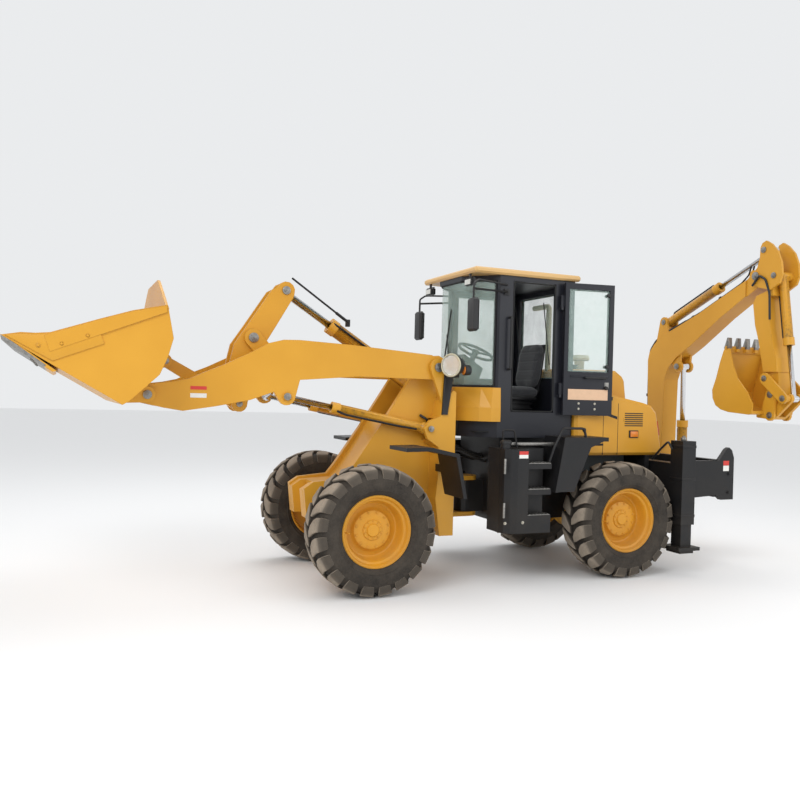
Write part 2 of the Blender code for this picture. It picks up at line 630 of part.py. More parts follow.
def make_cab_fittings(paints):
    floor = 0.8625 + SEAT
    seat = box("seat", (0.58, 1.02), (-0.24, 0.24), (1.2125, 1.3425))
    soften(seat, 0.03)
    back = prism("seat_back", [(0.6, 1.2725), (0.68, 1.2725), (0.59, 1.8525), (0.51, 1.8525)],
                 "y", -0.23, 0.23)
    base = box("seat_base", (0.64, 0.96), (-0.17, 0.17), (floor, 1.2325))
    finish(join(seat, back, base), "rear", paints["cloth"])
    wheel_at = Vector((1.27, 0, 1.6925))
    tilt = Vector((-0.42, 0, 0.91)).normalized()
    desk = prism("dashboard", [(1.46, 0.8625 + SEAT), (1.34, 0.8625 + SEAT), (1.32, 1.4125), (1.28, 1.5125),
                 (1.5, 1.6525), (1.53, 1.6125), (1.5, 1.3925)], "y", -0.19, 0.19)
    column = rod("column", wheel_at - tilt * 0.26, wheel_at - tilt * 0.03, 0.03, 14)
    finish(join(desk, column), "rear", paints["plastic"])
    bm = bmesh.new()
    turn = tilt.to_track_quat("Z", "Y").to_matrix().to_4x4()
    major, minor = 0.19, 0.015
    rings = []
    for k in range(28):
        around = 2 * pi * k / 28
        ring = []
        for m in range(8):
            angle = 2 * pi * m / 8
            radius = major + minor * cos(angle)
            spot = Vector((radius * cos(around), radius * sin(around), minor * sin(angle)))
            ring.append(bm.verts.new(turn @ spot + wheel_at))
        rings.append(ring)
    for k in range(28):
        for m in range(8):
            bm.faces.new((rings[k][m], rings[(k + 1) % 28][m],
                          rings[(k + 1) % 28][(m + 1) % 8], rings[k][(m + 1) % 8]))
    wheel = solid("steering_wheel", bm)
    hub = rod("wheel_hub", wheel_at - tilt * (0.03 - PIN_GAP), wheel_at + tilt * 0.02, 0.035, 14)
    spokes = []
    for angle in (90, 210, 330):
        end = turn @ Vector((major * cos(radians(angle)), major * sin(radians(angle)), 0))
        spokes.append(rod("spoke", wheel_at, wheel_at + end * 0.99, 0.010, 8))
    finish(join(wheel, hub, *spokes), "steering_wheel", paints["plastic"])
    return wheel_at, tilt


def make_mirrors(paints):
    for name, side in SIDES:
        x, y = (1.72, 0.76) if side > 0 else (1.6, -0.74)
        glass = box("mirror_" + name, (x - 0.03, x + 0.03), (y - 0.08, y + 0.08), (1.8425, 2.1625))
        soften(glass, 0.02)
        top = 2.2525
        foot = (1.24, side * (CAB_WIDTH / 2 + SEAT), top + 0.02)
        arm = rod("mirror_arm", (foot[0], foot[1] + side * 0.012, foot[2]), (x, y, top), 0.011, 10)
        drop = rod("mirror_drop", (x, y, top + 0.011), (x, y, 2.1325), 0.011, 10)
        pad = box("mirror_pad", (foot[0] - 0.03, foot[0] + 0.03),
                  (foot[1], foot[1] + side * 0.014), (foot[2] - 0.03, foot[2] + 0.03))
        finish(join(glass, arm, drop, pad), "rear", paints["plastic"])


def make_hood(paints):
    half = HOOD_WIDTH / 2
    side = [(0.41, 0.6325), (0.41, 1.3125), (-0.03, 1.2775), (-0.48, 1.1975), (-0.59, 1.1675),
              (-0.66, 1.0925), (-0.75, 0.6325)]
    hood = prism("hood", side, "y", -half, half, 0.03)
    crown = prism("hood_crown", [(0.39, 1.2725), (0.39, 1.5425), (-0.3, 1.5425), (-0.42, 1.4625),
                  (-0.46, 1.1775)], "y", -0.36, 0.36, 0.03)
    room = prism("hood_room", [(0.37, 0.5125), (0.37, 1.2425), (-0.03, 1.2125), (-0.48, 1.1325),
                 (-0.56, 1.1025), (-0.62, 1.0325), (-0.705, 0.5125)], "y", -half + 0.03, half - 0.03)
    grille = box("grille_slot", (-0.96, -0.54), (-0.40, 0.40), (0.6725, 1.0125))
    return finish(cut(join(hood, crown), room, grille), "rear", paints["yellow"])


def make_engine(paints):
    engine = box("engine_block", (-0.51, 0.29), (-0.28, 0.28), (0.4125 + SEAT, 1.0725), 0.02)
    finish(engine, "rear", paints["iron"])
    x = -0.06
    stack = [(0, 1.5425 + SEAT), (0.055, 1.5425 + SEAT), (0.055, 1.6475),
             (0.10, 1.6525), (0.115, 1.6825), (0.10, 1.7125), (0, 1.7225)]
    finish(turned("air_intake", stack, (x, 0, 0), 20, "z"), "rear", paints["beige"])


def make_side_boxes(paints):
    for name, side in SIDES:
        inner, outer, r = 0.60, 0.95, 0.13
        plan = [(1.42, inner)] + [(1.42 - r + r * cos(radians(a)),
                                       outer - r + r * sin(radians(a))) for a in (0, 30, 60, 90)]
        plan += [(0.91, outer), (0.91, inner)]
        tank = prism("tank_" + name, [(x, y * side) for x, y in plan], "z", -0.0875, 0.7225)
        if side > 0:
            steps = [box("step_gap", (0.74, 1.17), (0.80, 1.0), (low - 0.5875, low - 0.3875))
                     for low in (0.67, 0.92)]
            steps.append(box("step_gap", (0.74, 1.17), (0.80, 1.0), (0.5825, 0.8125)))
            cut(tank, *steps)
        finish(tank, "rear", paints["black"])
        guard = prism("rear_fender_" + name, [(0.26, 0.8425), (0.78, 0.8425), (0.88, 0.3025),
                      (0.84, 0.3025), (0.74, 0.8025), (0.26, 0.8025)], "y",
                      side * (CAB_WIDTH / 2 + 0.064), side * 0.98)
        skirt = prism("fender_skirt", [(0.27, 0.8225), (0.77, 0.8225), (0.855, 0.3075),
                      (0.66, 0.3075), (0.47, 0.7425)], "y", side * 0.955, side * 0.98)
        foot = box("fender_foot", (0.64, 0.72), (side * (0.70 + SEAT), side * 0.78),
                   (0.6525, 0.8125))
        finish(join(guard, skirt, foot), "rear", paints["black"])


# ---------------------------------------------------------------- stabilizers and side shift
def make_stabilizers(paints):
    y = STABILIZER_SPREAD / 2
    half = 0.09
    frame = box("stabilizer_frame", (-0.75, -0.605), (-y, y), (0.0525, 0.5725))
    cuts = []
    join(frame, box("frame_flange", (-0.66, -0.58), (-0.30, 0.30), (0.0325, 0.3925)))
    for name, side in SIDES:
        low, high = side * y - half, side * y + half
        case = box("leg_case", (-0.78, -0.605), (low, high), (-0.0575, 0.8125))
        bore = box("leg_bore", (-0.762, -0.623), (low + 0.018, high - 0.018), (-0.1875, 0.7925))
        end = prism("rail_end", [(-0.76, 0.2125), (-0.76, 0.6025), (-1.16, 0.6025), (-1.22, 0.6725),
                    (-1.26, 0.7225), (-1.3, 0.7425), (-1.34, 0.7125), (-1.37, 0.6325), (-1.37, 0.1825),
                    (-1.2, 0.1825), (-1.14, 0.2325)], "y", side * 0.97, side * 1.02)
        join(frame, case, end)
        cuts.append(bore)
        leg = box("stabilizer_" + name, (-0.762 + SLIDE_GAP, -0.623 - SLIDE_GAP),
                  (low + 0.018 + SLIDE_GAP, high - 0.018 - SLIDE_GAP), (-0.2875, 0.7325))
        foot = box("stabilizer_foot", (-0.83, -0.55), (side * y - 0.13, side * y + 0.13),
                   (-0.3225, -0.2875))
        rim = box("foot_rim", (-0.77, -0.59), (side * y - 0.10, side * y + 0.10),
                  (-0.3525, -0.3175))
        finish(join(leg, foot, rim), "stabilizer_" + name, paints["black"])
    for low, high in ((0.80, 0.90), (1.10, 1.20)):
        join(frame, box("rail", (-1.2, -1.12), (-0.99, 0.99), (low - 0.5875, high - 0.5875)))
    for side in (-0.80, 0.80, 0.0):
        web = box("rail_web", (-1.13, -0.74), (side - 0.03, side + 0.03), (0.2225, 0.5025))
        join(frame, web)
    cut(frame, *cuts)
    finish(frame, "rear", paints["black"])


def make_carriage(paints):
    half = 0.20
    low, high = KING_Y - half, KING_Y + half
    plate = box("side_carriage", (-1.25, -1.2 - SLIDE_GAP), (low, high), (0.1425, 0.6825))
    hook = prism("carriage_hook", [(-1.23, 0.6125 + SLIDE_GAP), (-1.23, 0.6825), (-1.08, 0.6825),
                 (-1.08, 0.5325), (-1.12 + SLIDE_GAP, 0.5325), (-1.12 + SLIDE_GAP, 0.6125 + SLIDE_GAP)],
                 "y", low, high)
    heel = prism("carriage_heel", [(-1.23, 0.2125 - SLIDE_GAP), (-1.23, 0.1425), (-1.08, 0.1425),
                 (-1.08, 0.2175), (-1.12 + SLIDE_GAP, 0.2175), (-1.12 + SLIDE_GAP, 0.2125 - SLIDE_GAP)],
                 "y", low, high)
    join(plate, hook, heel)
    for bottom, top in ((0.66, 0.72), (1.17, 1.225)):
        lug = prism("king_lug", [(-1.22, KING_Y - 0.17), (-1.22, KING_Y + 0.17),
                    (-1.36, KING_Y + 0.16), (-1.46, KING_Y + 0.075)]
                    + disc((HOE_X, KING_Y), 0.075, 9, 90, 270)
                    + [(-1.46, KING_Y - 0.075), (-1.36, KING_Y - 0.16)],
                    "z", bottom - 0.5875, top - 0.5875)
        join(plate, lug)
    cap = rod("king_cap", (HOE_X, KING_Y, 0.6125), (HOE_X, KING_Y, 0.6575), 0.045, 16)
    skirt = box("lug_skirt", (-1.25, -1.22), (KING_Y - 0.17, KING_Y + 0.17), (0.0725, 0.1625))
    join(plate, cap, skirt)
    return finish(plate, "side_shift", paints["yellow"])


# ---------------------------------------------------------------- backhoe
def make_swing_post(paints):
    low, high = 0.1325 + PIN_GAP, 0.5825 - PIN_GAP
    post = rod("swing_post", (HOE_X, KING_Y, low), (HOE_X, KING_Y, high), 0.062, 20)
    back = box("post_back", (HOE_X - 0.150, HOE_X + 0.150), (KING_Y + 0.02, KING_Y + 0.095),
               (0.1475, 0.5675))
    join(post, back)
    outline = [(KING_Y + 0.03, 0.1525)] + [(-0.2, 0.0425)]
    outline += disc(BOOM_CYL_BASE, 0.09, 7, -90, 60)
    outline += [(-0.24, 0.4125)] + disc(BOOM_FOOT, 0.13, 7, -10, 120)
    outline += [(KING_Y + 0.08, 0.5625), (KING_Y + 0.03, 0.5625)]
    for side in (-1, 1):
        gap = BOOM_WIDTH / 2 + 0.008
        cheek = prism("post_cheek", outline, "x", HOE_X + side * gap, HOE_X + side * (gap + 0.032))
        knob = across("foot_pin", BOOM_FOOT, "x", HOE_X + side * (gap + 0.01),
                      HOE_X + side * (gap + 0.045), 0.055)
        join(post, cheek, knob)
    return finish(post, "swing", paints["yellow"])


def make_boom(paints):
    outline = disc(BOOM_FOOT, 0.12, 8, 150, 350)
    outline += [(-0.375, 0.9125), (-0.36, 1.4925), (-0.3, 1.6325), (-0.16, 1.7625), (0.07, 1.8925),
                  (0.53, 2.1925), (0.88, 2.3925)]
    outline += disc(DIPPER_PIVOT, 0.10, 7, -60, 110)
    outline += [(0.88, 2.5725), (0.58, 2.4425), (0.2, 2.2725), (-0.22, 2.1125), (-0.42, 2.0425),
                  (-0.56, 1.9425), (-0.64, 1.8525), (-0.67, 1.7425), (-0.655, 1.2325), (-0.63, 0.7325)]
    half = BOOM_WIDTH / 2
    boom = prism("boom", outline, "x", HOE_X - half, HOE_X + half)
    tip = [prism("tip_trim", [(DIPPER_PIVOT[0] - 0.17, DIPPER_PIVOT[1] - 0.4),
                              (DIPPER_PIVOT[0] + 0.3, DIPPER_PIVOT[1] - 0.4),
                              (DIPPER_PIVOT[0] + 0.3, DIPPER_PIVOT[1] + 0.4),
                              (DIPPER_PIVOT[0] - 0.17, DIPPER_PIVOT[1] + 0.4)], "x",
                 HOE_X + side * 0.095, HOE_X + side * 0.2) for side in (-1, 1)]
    foot = [across("foot_boss", BOOM_FOOT, "x", HOE_X + side * 0.05,
                   HOE_X + side * (half + 0.008 - PIN_GAP), 0.07) for side in (-1, 1)]
    pivot = [across("tip_boss", DIPPER_PIVOT, "x", HOE_X + side * 0.05,
                    HOE_X + side * (0.108 - PIN_GAP), 0.06) for side in (-1, 1)]
    cut(boom, *tip, across("eye_room", BOOM_CYL_EYE, "x", HOE_X - 0.058, HOE_X + 0.058, 0.12))
    join(boom, *foot, *pivot)
    for side in (-1, 1):
        lug = prism("cylinder_lug", disc(BOOM_CYL_EYE, 0.07, 7, -120, 60)
                    + [(-0.1, 1.8525), (-0.26, 1.7125)], "x", HOE_X + side * 0.062,
                    HOE_X + side * 0.092)
        post = prism("dipper_cyl_lug", disc(DIPPER_CYL_BASE, 0.065, 7, -20, 160)
                     + [(-0.56, 1.8925), (-0.3, 2.0125)], "x", HOE_X + side * 0.062,
                     HOE_X + side * 0.090)
        join(boom, lug, post)
    return finish(boom, "boom", paints["yellow"])


def make_dipper(paints):
    head = [(1.06, 2.6625), (1.1, 2.7925), (1.105, 2.9025), (1.13, 2.9475), (1.18, 2.9675),
              (1.25, 2.9225), (1.33, 2.8325), (1.38, 2.7125), (1.395, 2.5825), (1.36, 2.4925),
              (1.25, 2.4325), (1.1, 2.4725)] + disc(DIPPER_PIVOT, 0.095, 7, 230, 130)
    body = [(1.005, 2.3125), (1.04, 2.0725), (1.09, 1.9125), (1.15, 1.6425), (1.165, 1.5625),
              (1.345, 1.5625), (1.33, 1.7125), (1.29, 1.8125), (1.25, 2.0125), (1.215, 2.3325),
              (1.2, 2.4325), (1.05, 2.3925)]
    nose = [(1.1, 1.8625), (1.155, 1.5725), (1.17, 1.4625)] + disc(DIG_PIN, 0.07, 7, 190, 350)
    nose += [(1.345, 1.4925), (1.32, 1.7325)]
    dipper = prism("dipper", body, "x", HOE_X - 0.115, HOE_X + 0.115)
    join(dipper, prism("dipper_nose", nose, "x", HOE_X - 0.085, HOE_X + 0.085))
    for side in (-1, 1):
        cheek = prism("head_plate", head, "x", HOE_X + side * 0.108, HOE_X + side * 0.138)
        boss = across("dig_boss", DIG_PIN, "x", HOE_X + side * 0.05,
                      HOE_X + side * (0.10 - PIN_GAP), 0.05)
        rest = across("rocker_boss", ROCKER_PIVOT, "x", HOE_X + side * 0.05,
                      HOE_X + side * (0.142 - PIN_GAP), 0.045)
        knob = across("head_pin", DIPPER_PIVOT, "x", HOE_X + side * 0.12, HOE_X + side * 0.15, 0.045)
        seat = across("cyl_boss", BUCKET_CYL_BASE, "x", HOE_X + side * (0.055 + PIN_GAP),
                      HOE_X + side * 0.12, 0.045)
        join(dipper, cheek, boss, rest, knob, seat)
    web = prism("head_web", [(1.2, 2.3725), (1.27, 2.3725), (1.255, 2.4725), (1.2, 2.4725)], "x",
                HOE_X - 0.11, HOE_X + 0.11)
    bore = across("rocker_bore", ROCKER_PIVOT, "x", HOE_X - 0.3, HOE_X + 0.3, 0.0285)
    cut(join(dipper, web), bore)
    return finish(dipper, "dipper", paints["yellow"])


def make_rocker(paints):
    rocker = across("rocker", ROCKER_PIVOT, "x", HOE_X - 0.165, HOE_X + 0.165, 0.0265)
    for side in (-1, 1):
        join(rocker, prism("rocker_plate", strap(ROCKER_PIVOT, ROCKER_PIN, 0.06, 0.055),
                           "x", HOE_X + side * 0.142, HOE_X + side * 0.168))
    finish(rocker, "rocker", paints["yellow"])
    link = prism("push_link", strap(ROCKER_PIN, DIG_EAR, 0.05, 0.045), "x",
                 HOE_X - 0.085, HOE_X + 0.085)
    stop = along(ROCKER_PIN, DIG_EAR, 0.15)
    opening = prism("eye_slot", strap(along(DIG_EAR, ROCKER_PIN, 0.9), stop, 0.2, 0.10), "x",
                    HOE_X - 0.047, HOE_X + 0.047)
    cut(link, opening)
    for side in (-1, 1):
        join(link, across("link_boss", ROCKER_PIN, "x", HOE_X + side * 0.07,
                          HOE_X + side * (0.142 - PIN_GAP), 0.038))
    finish(link, "push_link", paints["yellow"])


def make_dig_bucket(paints):
    shell = [(0.79, 1.8025), (0.74, 1.6725), (0.69, 1.5025), (0.635, 1.3625), (0.645, 1.2725),
               (0.69, 1.1925), (0.77, 1.1475), (0.88, 1.1225), (1.16, 1.1025), (1.2, 1.1125)]
    cheek = shell + [(1.205, 1.2225), (1.17, 1.2725), (1.13, 1.3425), (0.99, 1.4925), (0.925, 1.6325),
                       (0.895, 1.7225), (0.87, 1.8125)]
    hollow = [(0.812, 1.8625), (0.764, 1.6745), (0.712, 1.4925), (0.662, 1.3555), (0.668, 1.2845),
                (0.705, 1.2125), (0.775, 1.1725), (0.885, 1.1455), (1.155, 1.1255), (1.183, 1.1345),
                (1.6, 1.4125), (1.2, 2.0125)]
    half = DIG_BUCKET_WIDTH / 2
    bucket = prism("digging_bucket", cheek, "x", HOE_X - half, HOE_X + half)
    cut(bucket, prism("dig_room", hollow, "x", HOE_X - half + 0.018, HOE_X + half - 0.018))
    for side in (-1, 1):
        ear = [(1.1, 1.1125), (1.12, 1.0725)] + disc(DIG_EAR, 0.06, 6, 220, 380)
        ear += disc(DIG_PIN, 0.06, 7, -10, 150) + [(1.2, 1.2525), (1.17, 1.1325)]
        plate = prism("dig_ear", ear, "x", HOE_X + side * 0.10, HOE_X + side * 0.13)
        join(bucket, plate)
    brace = box("ear_brace", (HOE_X - 0.12, HOE_X + 0.12), (1.10, 1.195), (1.0775, 1.1325))
    lip = prism("dig_lip", [(0.775, 1.7725), (0.8, 1.7725), (0.83, 1.8425), (0.815, 1.8525)], "x",
                HOE_X - half + 0.002, HOE_X + half - 0.002)
    join(bucket, brace, lip)
    for k in range(5):
        x = HOE_X + (k - 2) * (half - 0.035) / 2
        tooth = prism("tooth", [(0.783, 1.7875), (0.838, 1.7875), (0.845, 1.8425), (0.842, 1.9375),
                      (0.828, 1.9375), (0.797, 1.8425)], "x", x - 0.022, x + 0.022)
        join(bucket, tooth)
    return finish(bucket, "dig_bucket", paints["yellow"])


def make_hoe_cylinders(paints):
    gap = BOOM_WIDTH / 2 + 0.008
    make_cylinder("boom", (BOOM_CYL_BASE, BOOM_CYL_EYE), "x", HOE_X, (0.058, 0.030),
                  (0.85, 0.53), ("boom_barrel", "boom_rod"), paints,
                  (0.06, gap - PIN_GAP, 0.05, 0.050))
    make_cylinder("dipper", (DIPPER_CYL_BASE, DIPPER_CYL_EYE), "x", HOE_X, (0.055, 0.028),
                  (0.90, 0.38), ("dipper_barrel", "dipper_rod"), paints,
                  (0.055, 0.062 - PIN_GAP, 0.045, 0.050))
    make_cylinder("bucket", (BUCKET_CYL_BASE, ROCKER_PIN), "x", HOE_X, (0.048, 0.025),
                  (0.735, 0.41), ("bucket_barrel", "bucket_rod"), paints,
                  (0.045, 0.055, 0.040, 0.040))


# ---------------------------------------------------------------- assembly
def make_axes():
    root = axis_point("machine", (0, 0, 0))
    root.location = (-ORIGIN_X, -ORIGIN_Y, TYRE_RADIUS)
    axis_point("steering", (0, 0, 0), "machine")
    front = axis_point("front", (0, 0, 0))
    front.parent, front.location = PLACES["steering"][0], (WHEELBASE / 2, 0, 0)
    rear = axis_point("rear", (0, 0, 0))
    rear.parent, rear.location = PLACES["machine"][0], (-WHEELBASE / 2, 0, 0)
    for name, side in SIDES:
        axis_point("front_wheel_" + name, (0, side * WHEEL_Y, 0), "front")
        axis_point("rear_wheel_" + name, (0, side * WHEEL_Y, 0), "rear")
    side_view = (("lift", ARM_PIVOT, "front"), ("crank", CRANK_PIVOT, "lift"),
                 ("bucket", BUCKET_PIN, "lift"), ("link", CRANK_LOW, "crank"),
                 ("tilt_barrel", TILT_BASE, "front"), ("tilt_rod", CRANK_TOP, "tilt_barrel"))
    for name, pin, parent in side_view:
        axis_point(name, lift3(pin, "y", 0), parent)
    for name, side in SIDES:
        axis_point("lift_barrel_" + name, lift3(LIFT_BASE, "y", side * LIFT_Y), "front")
        axis_point("lift_rod_" + name, lift3(LIFT_EYE, "y", side * LIFT_Y), "lift_barrel_" + name)
        axis_point("stabilizer_" + name, (-0.68, side * STABILIZER_SPREAD / 2, -0.2875),
                   "rear")
    axis_point("door", (*DOOR_HINGE, 1.7125), "rear")
    axis_point("side_shift", (HOE_X, KING_Y, 0.3625), "rear")
    axis_point("swing", (HOE_X, KING_Y, 0.3625), "side_shift")
    hoe = (("boom", BOOM_FOOT, "swing"), ("boom_barrel", BOOM_CYL_BASE, "swing"),
           ("boom_rod", BOOM_CYL_EYE, "boom_barrel"), ("dipper", DIPPER_PIVOT, "boom"),
           ("dipper_barrel", DIPPER_CYL_BASE, "boom"),
           ("dipper_rod", DIPPER_CYL_EYE, "dipper_barrel"),
           ("bucket_barrel", BUCKET_CYL_BASE, "dipper"),
           ("bucket_rod", ROCKER_PIN, "bucket_barrel"), ("rocker", ROCKER_PIVOT, "dipper"),
           ("push_link", ROCKER_PIN, "rocker"), ("dig_bucket", DIG_PIN, "dipper"))
    for name, pin, parent in hoe:
        axis_point(name, lift3(pin, "x", HOE_X), parent)


def main():
    clear_scene()
    paints = make_materials()
    make_axes()
    axis_point("steering_wheel", (1.27, 0, 1.6925), "rear")
    for name, side in SIDES:
        for end in ("front", "rear"):
            make_wheel(end + "_" + name, end + "_wheel_" + name, side, paints)
    make_axle("front_axle", "front", -1, paints)
    make_axle("rear_axle", "rear", 1, paints)
    make_front_frame(paints)
    make_front_trim(paints)
    make_arms(paints)
    make_crank(paints)
    make_link(paints)
    make_loader_bucket(paints)
    make_loader_cylinders(paints)
    make_rear_frame(paints)
    make_cab(paints)
    make_cowl(paints)
    make_roof(paints)
    make_door(paints)
    make_cab_fittings(paints)
    make_mirrors(paints)
    make_hood(paints)
    make_engine(paints)
    make_side_boxes(paints)
    make_stabilizers(paints)
    make_carriage(paints)
    make_swing_post(paints)
    make_boom(paints)
    make_dipper(paints)
    make_rocker(paints)
    make_dig_bucket(paints)
    make_hoe_cylinders(paints)


main()
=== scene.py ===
import json
from math import cos, pi, radians, sin

import bmesh
import bpy
from mathutils import Matrix, Vector

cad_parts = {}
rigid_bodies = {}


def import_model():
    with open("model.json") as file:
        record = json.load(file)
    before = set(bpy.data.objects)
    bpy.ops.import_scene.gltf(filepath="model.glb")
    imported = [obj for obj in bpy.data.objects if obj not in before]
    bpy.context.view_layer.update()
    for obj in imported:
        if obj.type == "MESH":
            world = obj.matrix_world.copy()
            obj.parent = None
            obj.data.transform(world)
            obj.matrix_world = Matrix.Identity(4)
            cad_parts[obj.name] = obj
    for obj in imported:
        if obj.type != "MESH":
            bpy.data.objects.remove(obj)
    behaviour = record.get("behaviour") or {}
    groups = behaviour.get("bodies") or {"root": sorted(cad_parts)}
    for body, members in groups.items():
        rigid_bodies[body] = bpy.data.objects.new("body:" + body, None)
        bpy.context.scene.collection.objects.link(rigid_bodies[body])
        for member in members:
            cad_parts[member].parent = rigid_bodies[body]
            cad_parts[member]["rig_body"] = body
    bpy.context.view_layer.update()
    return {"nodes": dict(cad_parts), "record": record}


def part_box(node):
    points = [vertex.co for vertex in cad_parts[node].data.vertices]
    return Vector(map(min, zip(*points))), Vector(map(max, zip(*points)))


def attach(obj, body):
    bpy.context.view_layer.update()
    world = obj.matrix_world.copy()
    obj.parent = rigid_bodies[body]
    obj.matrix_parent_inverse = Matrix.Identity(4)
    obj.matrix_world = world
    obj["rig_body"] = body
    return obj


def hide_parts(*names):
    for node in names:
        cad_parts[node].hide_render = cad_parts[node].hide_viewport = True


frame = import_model()
nodes = frame["nodes"]
print("frame loaded")


# places: every point is counted from an axle's middle, as the CAD's outlines are
def middleOf(*names):
    lows, highs = zip(*(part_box(n) for n in names))
    return Vector([(min(a[k] for a in lows) + max(b[k] for b in highs)) / 2 for k in range(3)])


frontAxle = middleOf("front_left_rim", "front_right_rim")
rearAxle = middleOf("rear_left_rim", "rear_right_rim")


def atFront(x, y, z):
    return frontAxle + Vector((x, y, z))


def atRear(x, y, z):
    return rearAxle + Vector((x, y, z))


# shader groups
def makeGroup(name, inputs, outputs):
    group = bpy.data.node_groups.new(name, "ShaderNodeTree")
    for label, kind, value in inputs:
        socket = group.interface.new_socket(name=label, in_out="INPUT", socket_type="NodeSocket" + kind)
        socket.default_value = value
    for label, kind in outputs:
        group.interface.new_socket(name=label, in_out="OUTPUT", socket_type="NodeSocket" + kind)
    return group, group.nodes.new("NodeGroupInput"), group.nodes.new("NodeGroupOutput")


def addNode(tree, kind, **values):
    node = tree.nodes.new("ShaderNode" + kind)
    for key, value in values.items():
        if hasattr(node, key):
            setattr(node, key, value)
        else:
            node.inputs[key].default_value = value
    return node


def mathNode(tree, operation, a, b=0.0, clamp=False):
    node = tree.nodes.new("ShaderNodeMath")
    node.operation = operation
    node.use_clamp = clamp
    for socket, value in zip(node.inputs, (a, b)):
        if hasattr(value, "links"):
            tree.links.new(value, socket)
        else:
            socket.default_value = value
    return node.outputs[0]


def mixColour(tree, factor, a, b, blend="MIX"):
    node = tree.nodes.new("ShaderNodeMix")
    node.data_type = "RGBA"
    node.blend_type = blend
    for socket, value in ((node.inputs[0], factor), (node.inputs[6], a), (node.inputs[7], b)):
        if hasattr(value, "links"):
            tree.links.new(value, socket)
        elif isinstance(value, tuple):
            socket.default_value = (*value, 1.0)[:4]
        else:
            socket.default_value = value
    return node.outputs[2]


def spread(tree, value, low, high, toLow=0.0, toHigh=1.0):
    node = tree.nodes.new("ShaderNodeMapRange")
    tree.links.new(value, node.inputs[0])
    for k, v in enumerate((low, high, toLow, toHigh)):
        node.inputs[k + 1].default_value = v
    return node.outputs[0]


def noiseOf(tree, vector, scale, detail=4.0, roughness=0.55):
    node = addNode(tree, "TexNoise", Scale=scale, Detail=detail, Roughness=roughness)
    tree.links.new(vector, node.inputs["Vector"])
    return node.outputs["Fac"]


def makeEdgeGroup():
    # edge: bare metal on corners; dust: settles on tops and low down
    group, start, end = makeGroup("edgeAndDust", [("Radius", "Float", 0.008), ("Wear", "Float", 0.5),
        ("Dust", "Float", 0.5)], [("Edge", "Float"), ("Dust", "Float"), ("Tone", "Float")])
    links = group.links
    where = addNode(group, "TexCoord").outputs["Object"]
    shape = addNode(group, "NewGeometry")
    bevel = addNode(group, "Bevel", samples=4)
    links.new(start.outputs["Radius"], bevel.inputs["Radius"])
    dot = addNode(group, "VectorMath", operation="DOT_PRODUCT")
    links.new(bevel.outputs[0], dot.inputs[0])
    links.new(shape.outputs["True Normal"], dot.inputs[1])
    turned = mathNode(group, "SUBTRACT", 1.0, dot.outputs["Value"])
    corner = spread(group, turned, 0.03, 0.20)
    chips = spread(group, noiseOf(group, where, 34.0, 5.0, 0.7), 0.50, 0.62)
    worn = mathNode(group, "MULTIPLY", corner, chips)
    worn = mathNode(group, "MULTIPLY", worn, start.outputs["Wear"], True)
    links.new(worn, end.inputs["Edge"])
    split = addNode(group, "SeparateXYZ")
    links.new(shape.outputs["Normal"], split.inputs[0])
    tops = spread(group, split.outputs["Z"], 0.2, 1.0)
    place = addNode(group, "SeparateXYZ")
    links.new(where, place.inputs[0])
    low = spread(group, place.outputs["Z"], 1.3, 0.1)
    cloud = spread(group, noiseOf(group, where, 3.2, 6.0, 0.6), 0.35, 0.70)
    share = mathNode(group, "ADD", mathNode(group, "MULTIPLY", tops, 0.55), mathNode(group, "MULTIPLY", low,
        0.6))
    share = mathNode(group, "MULTIPLY", share, cloud)
    links.new(mathNode(group, "MULTIPLY", share, start.outputs["Dust"], True), end.inputs["Dust"])
    links.new(spread(group, noiseOf(group, where, 0.9, 3.0), 0.3, 0.7), end.inputs["Tone"])
    return group


def makeSkinGroup():
    # small waves in sprayed paint, castings and moulded plastic
    group, start, end = makeGroup("skinGrain", [("Scale", "Float", 60.0), ("Depth", "Float", 0.3)],
                                  [("Height", "Float"), ("Speckle", "Float")])
    where = addNode(group, "TexCoord").outputs["Object"]
    fine = addNode(group, "TexNoise", Detail=3.0, Roughness=0.5)
    group.links.new(where, fine.inputs["Vector"])
    group.links.new(start.outputs["Scale"], fine.inputs["Scale"])
    coarse = noiseOf(group, where, 9.0, 2.0)
    height = mathNode(group, "ADD", mathNode(group, "MULTIPLY", fine.outputs["Fac"], start.outputs["Depth"]),
                      mathNode(group, "MULTIPLY", coarse, 0.6))
    group.links.new(height, end.inputs["Height"])
    group.links.new(fine.outputs["Fac"], end.inputs["Speckle"])
    return group


edgeGroup = makeEdgeGroup()
skinGroup = makeSkinGroup()


def placeGroup(tree, group, **values):
    node = tree.nodes.new("ShaderNodeGroup")
    node.node_tree = group
    for key, value in values.items():
        node.inputs[key].default_value = value
    return node


def newMaterial(name, colour, roughness=0.5, metallic=0.0):
    material = bpy.data.materials.new(name)
    material.use_nodes = True
    material.diffuse_color = (*colour, 1.0)
    tree = material.node_tree
    shader = tree.nodes["Principled BSDF"]
    shader.inputs["Base Color"].default_value = (*colour, 1.0)
    shader.inputs["Roughness"].default_value = roughness
    shader.inputs["Metallic"].default_value = metallic
    return material, tree, shader


def bumped(tree, shader, height, strength, distance, radius=0.0):
    bump = addNode(tree, "Bump", Strength=strength, Distance=distance)
    tree.links.new(height, bump.inputs["Height"])
    if radius:
        bevel = addNode(tree, "Bevel", samples=4, Radius=radius)
        tree.links.new(bevel.outputs[0], bump.inputs["Normal"])
    tree.links.new(bump.outputs[0], shader.inputs["Normal"])


dustColour = (0.27, 0.20, 0.12)
primerColour = (0.09, 0.06, 0.045)


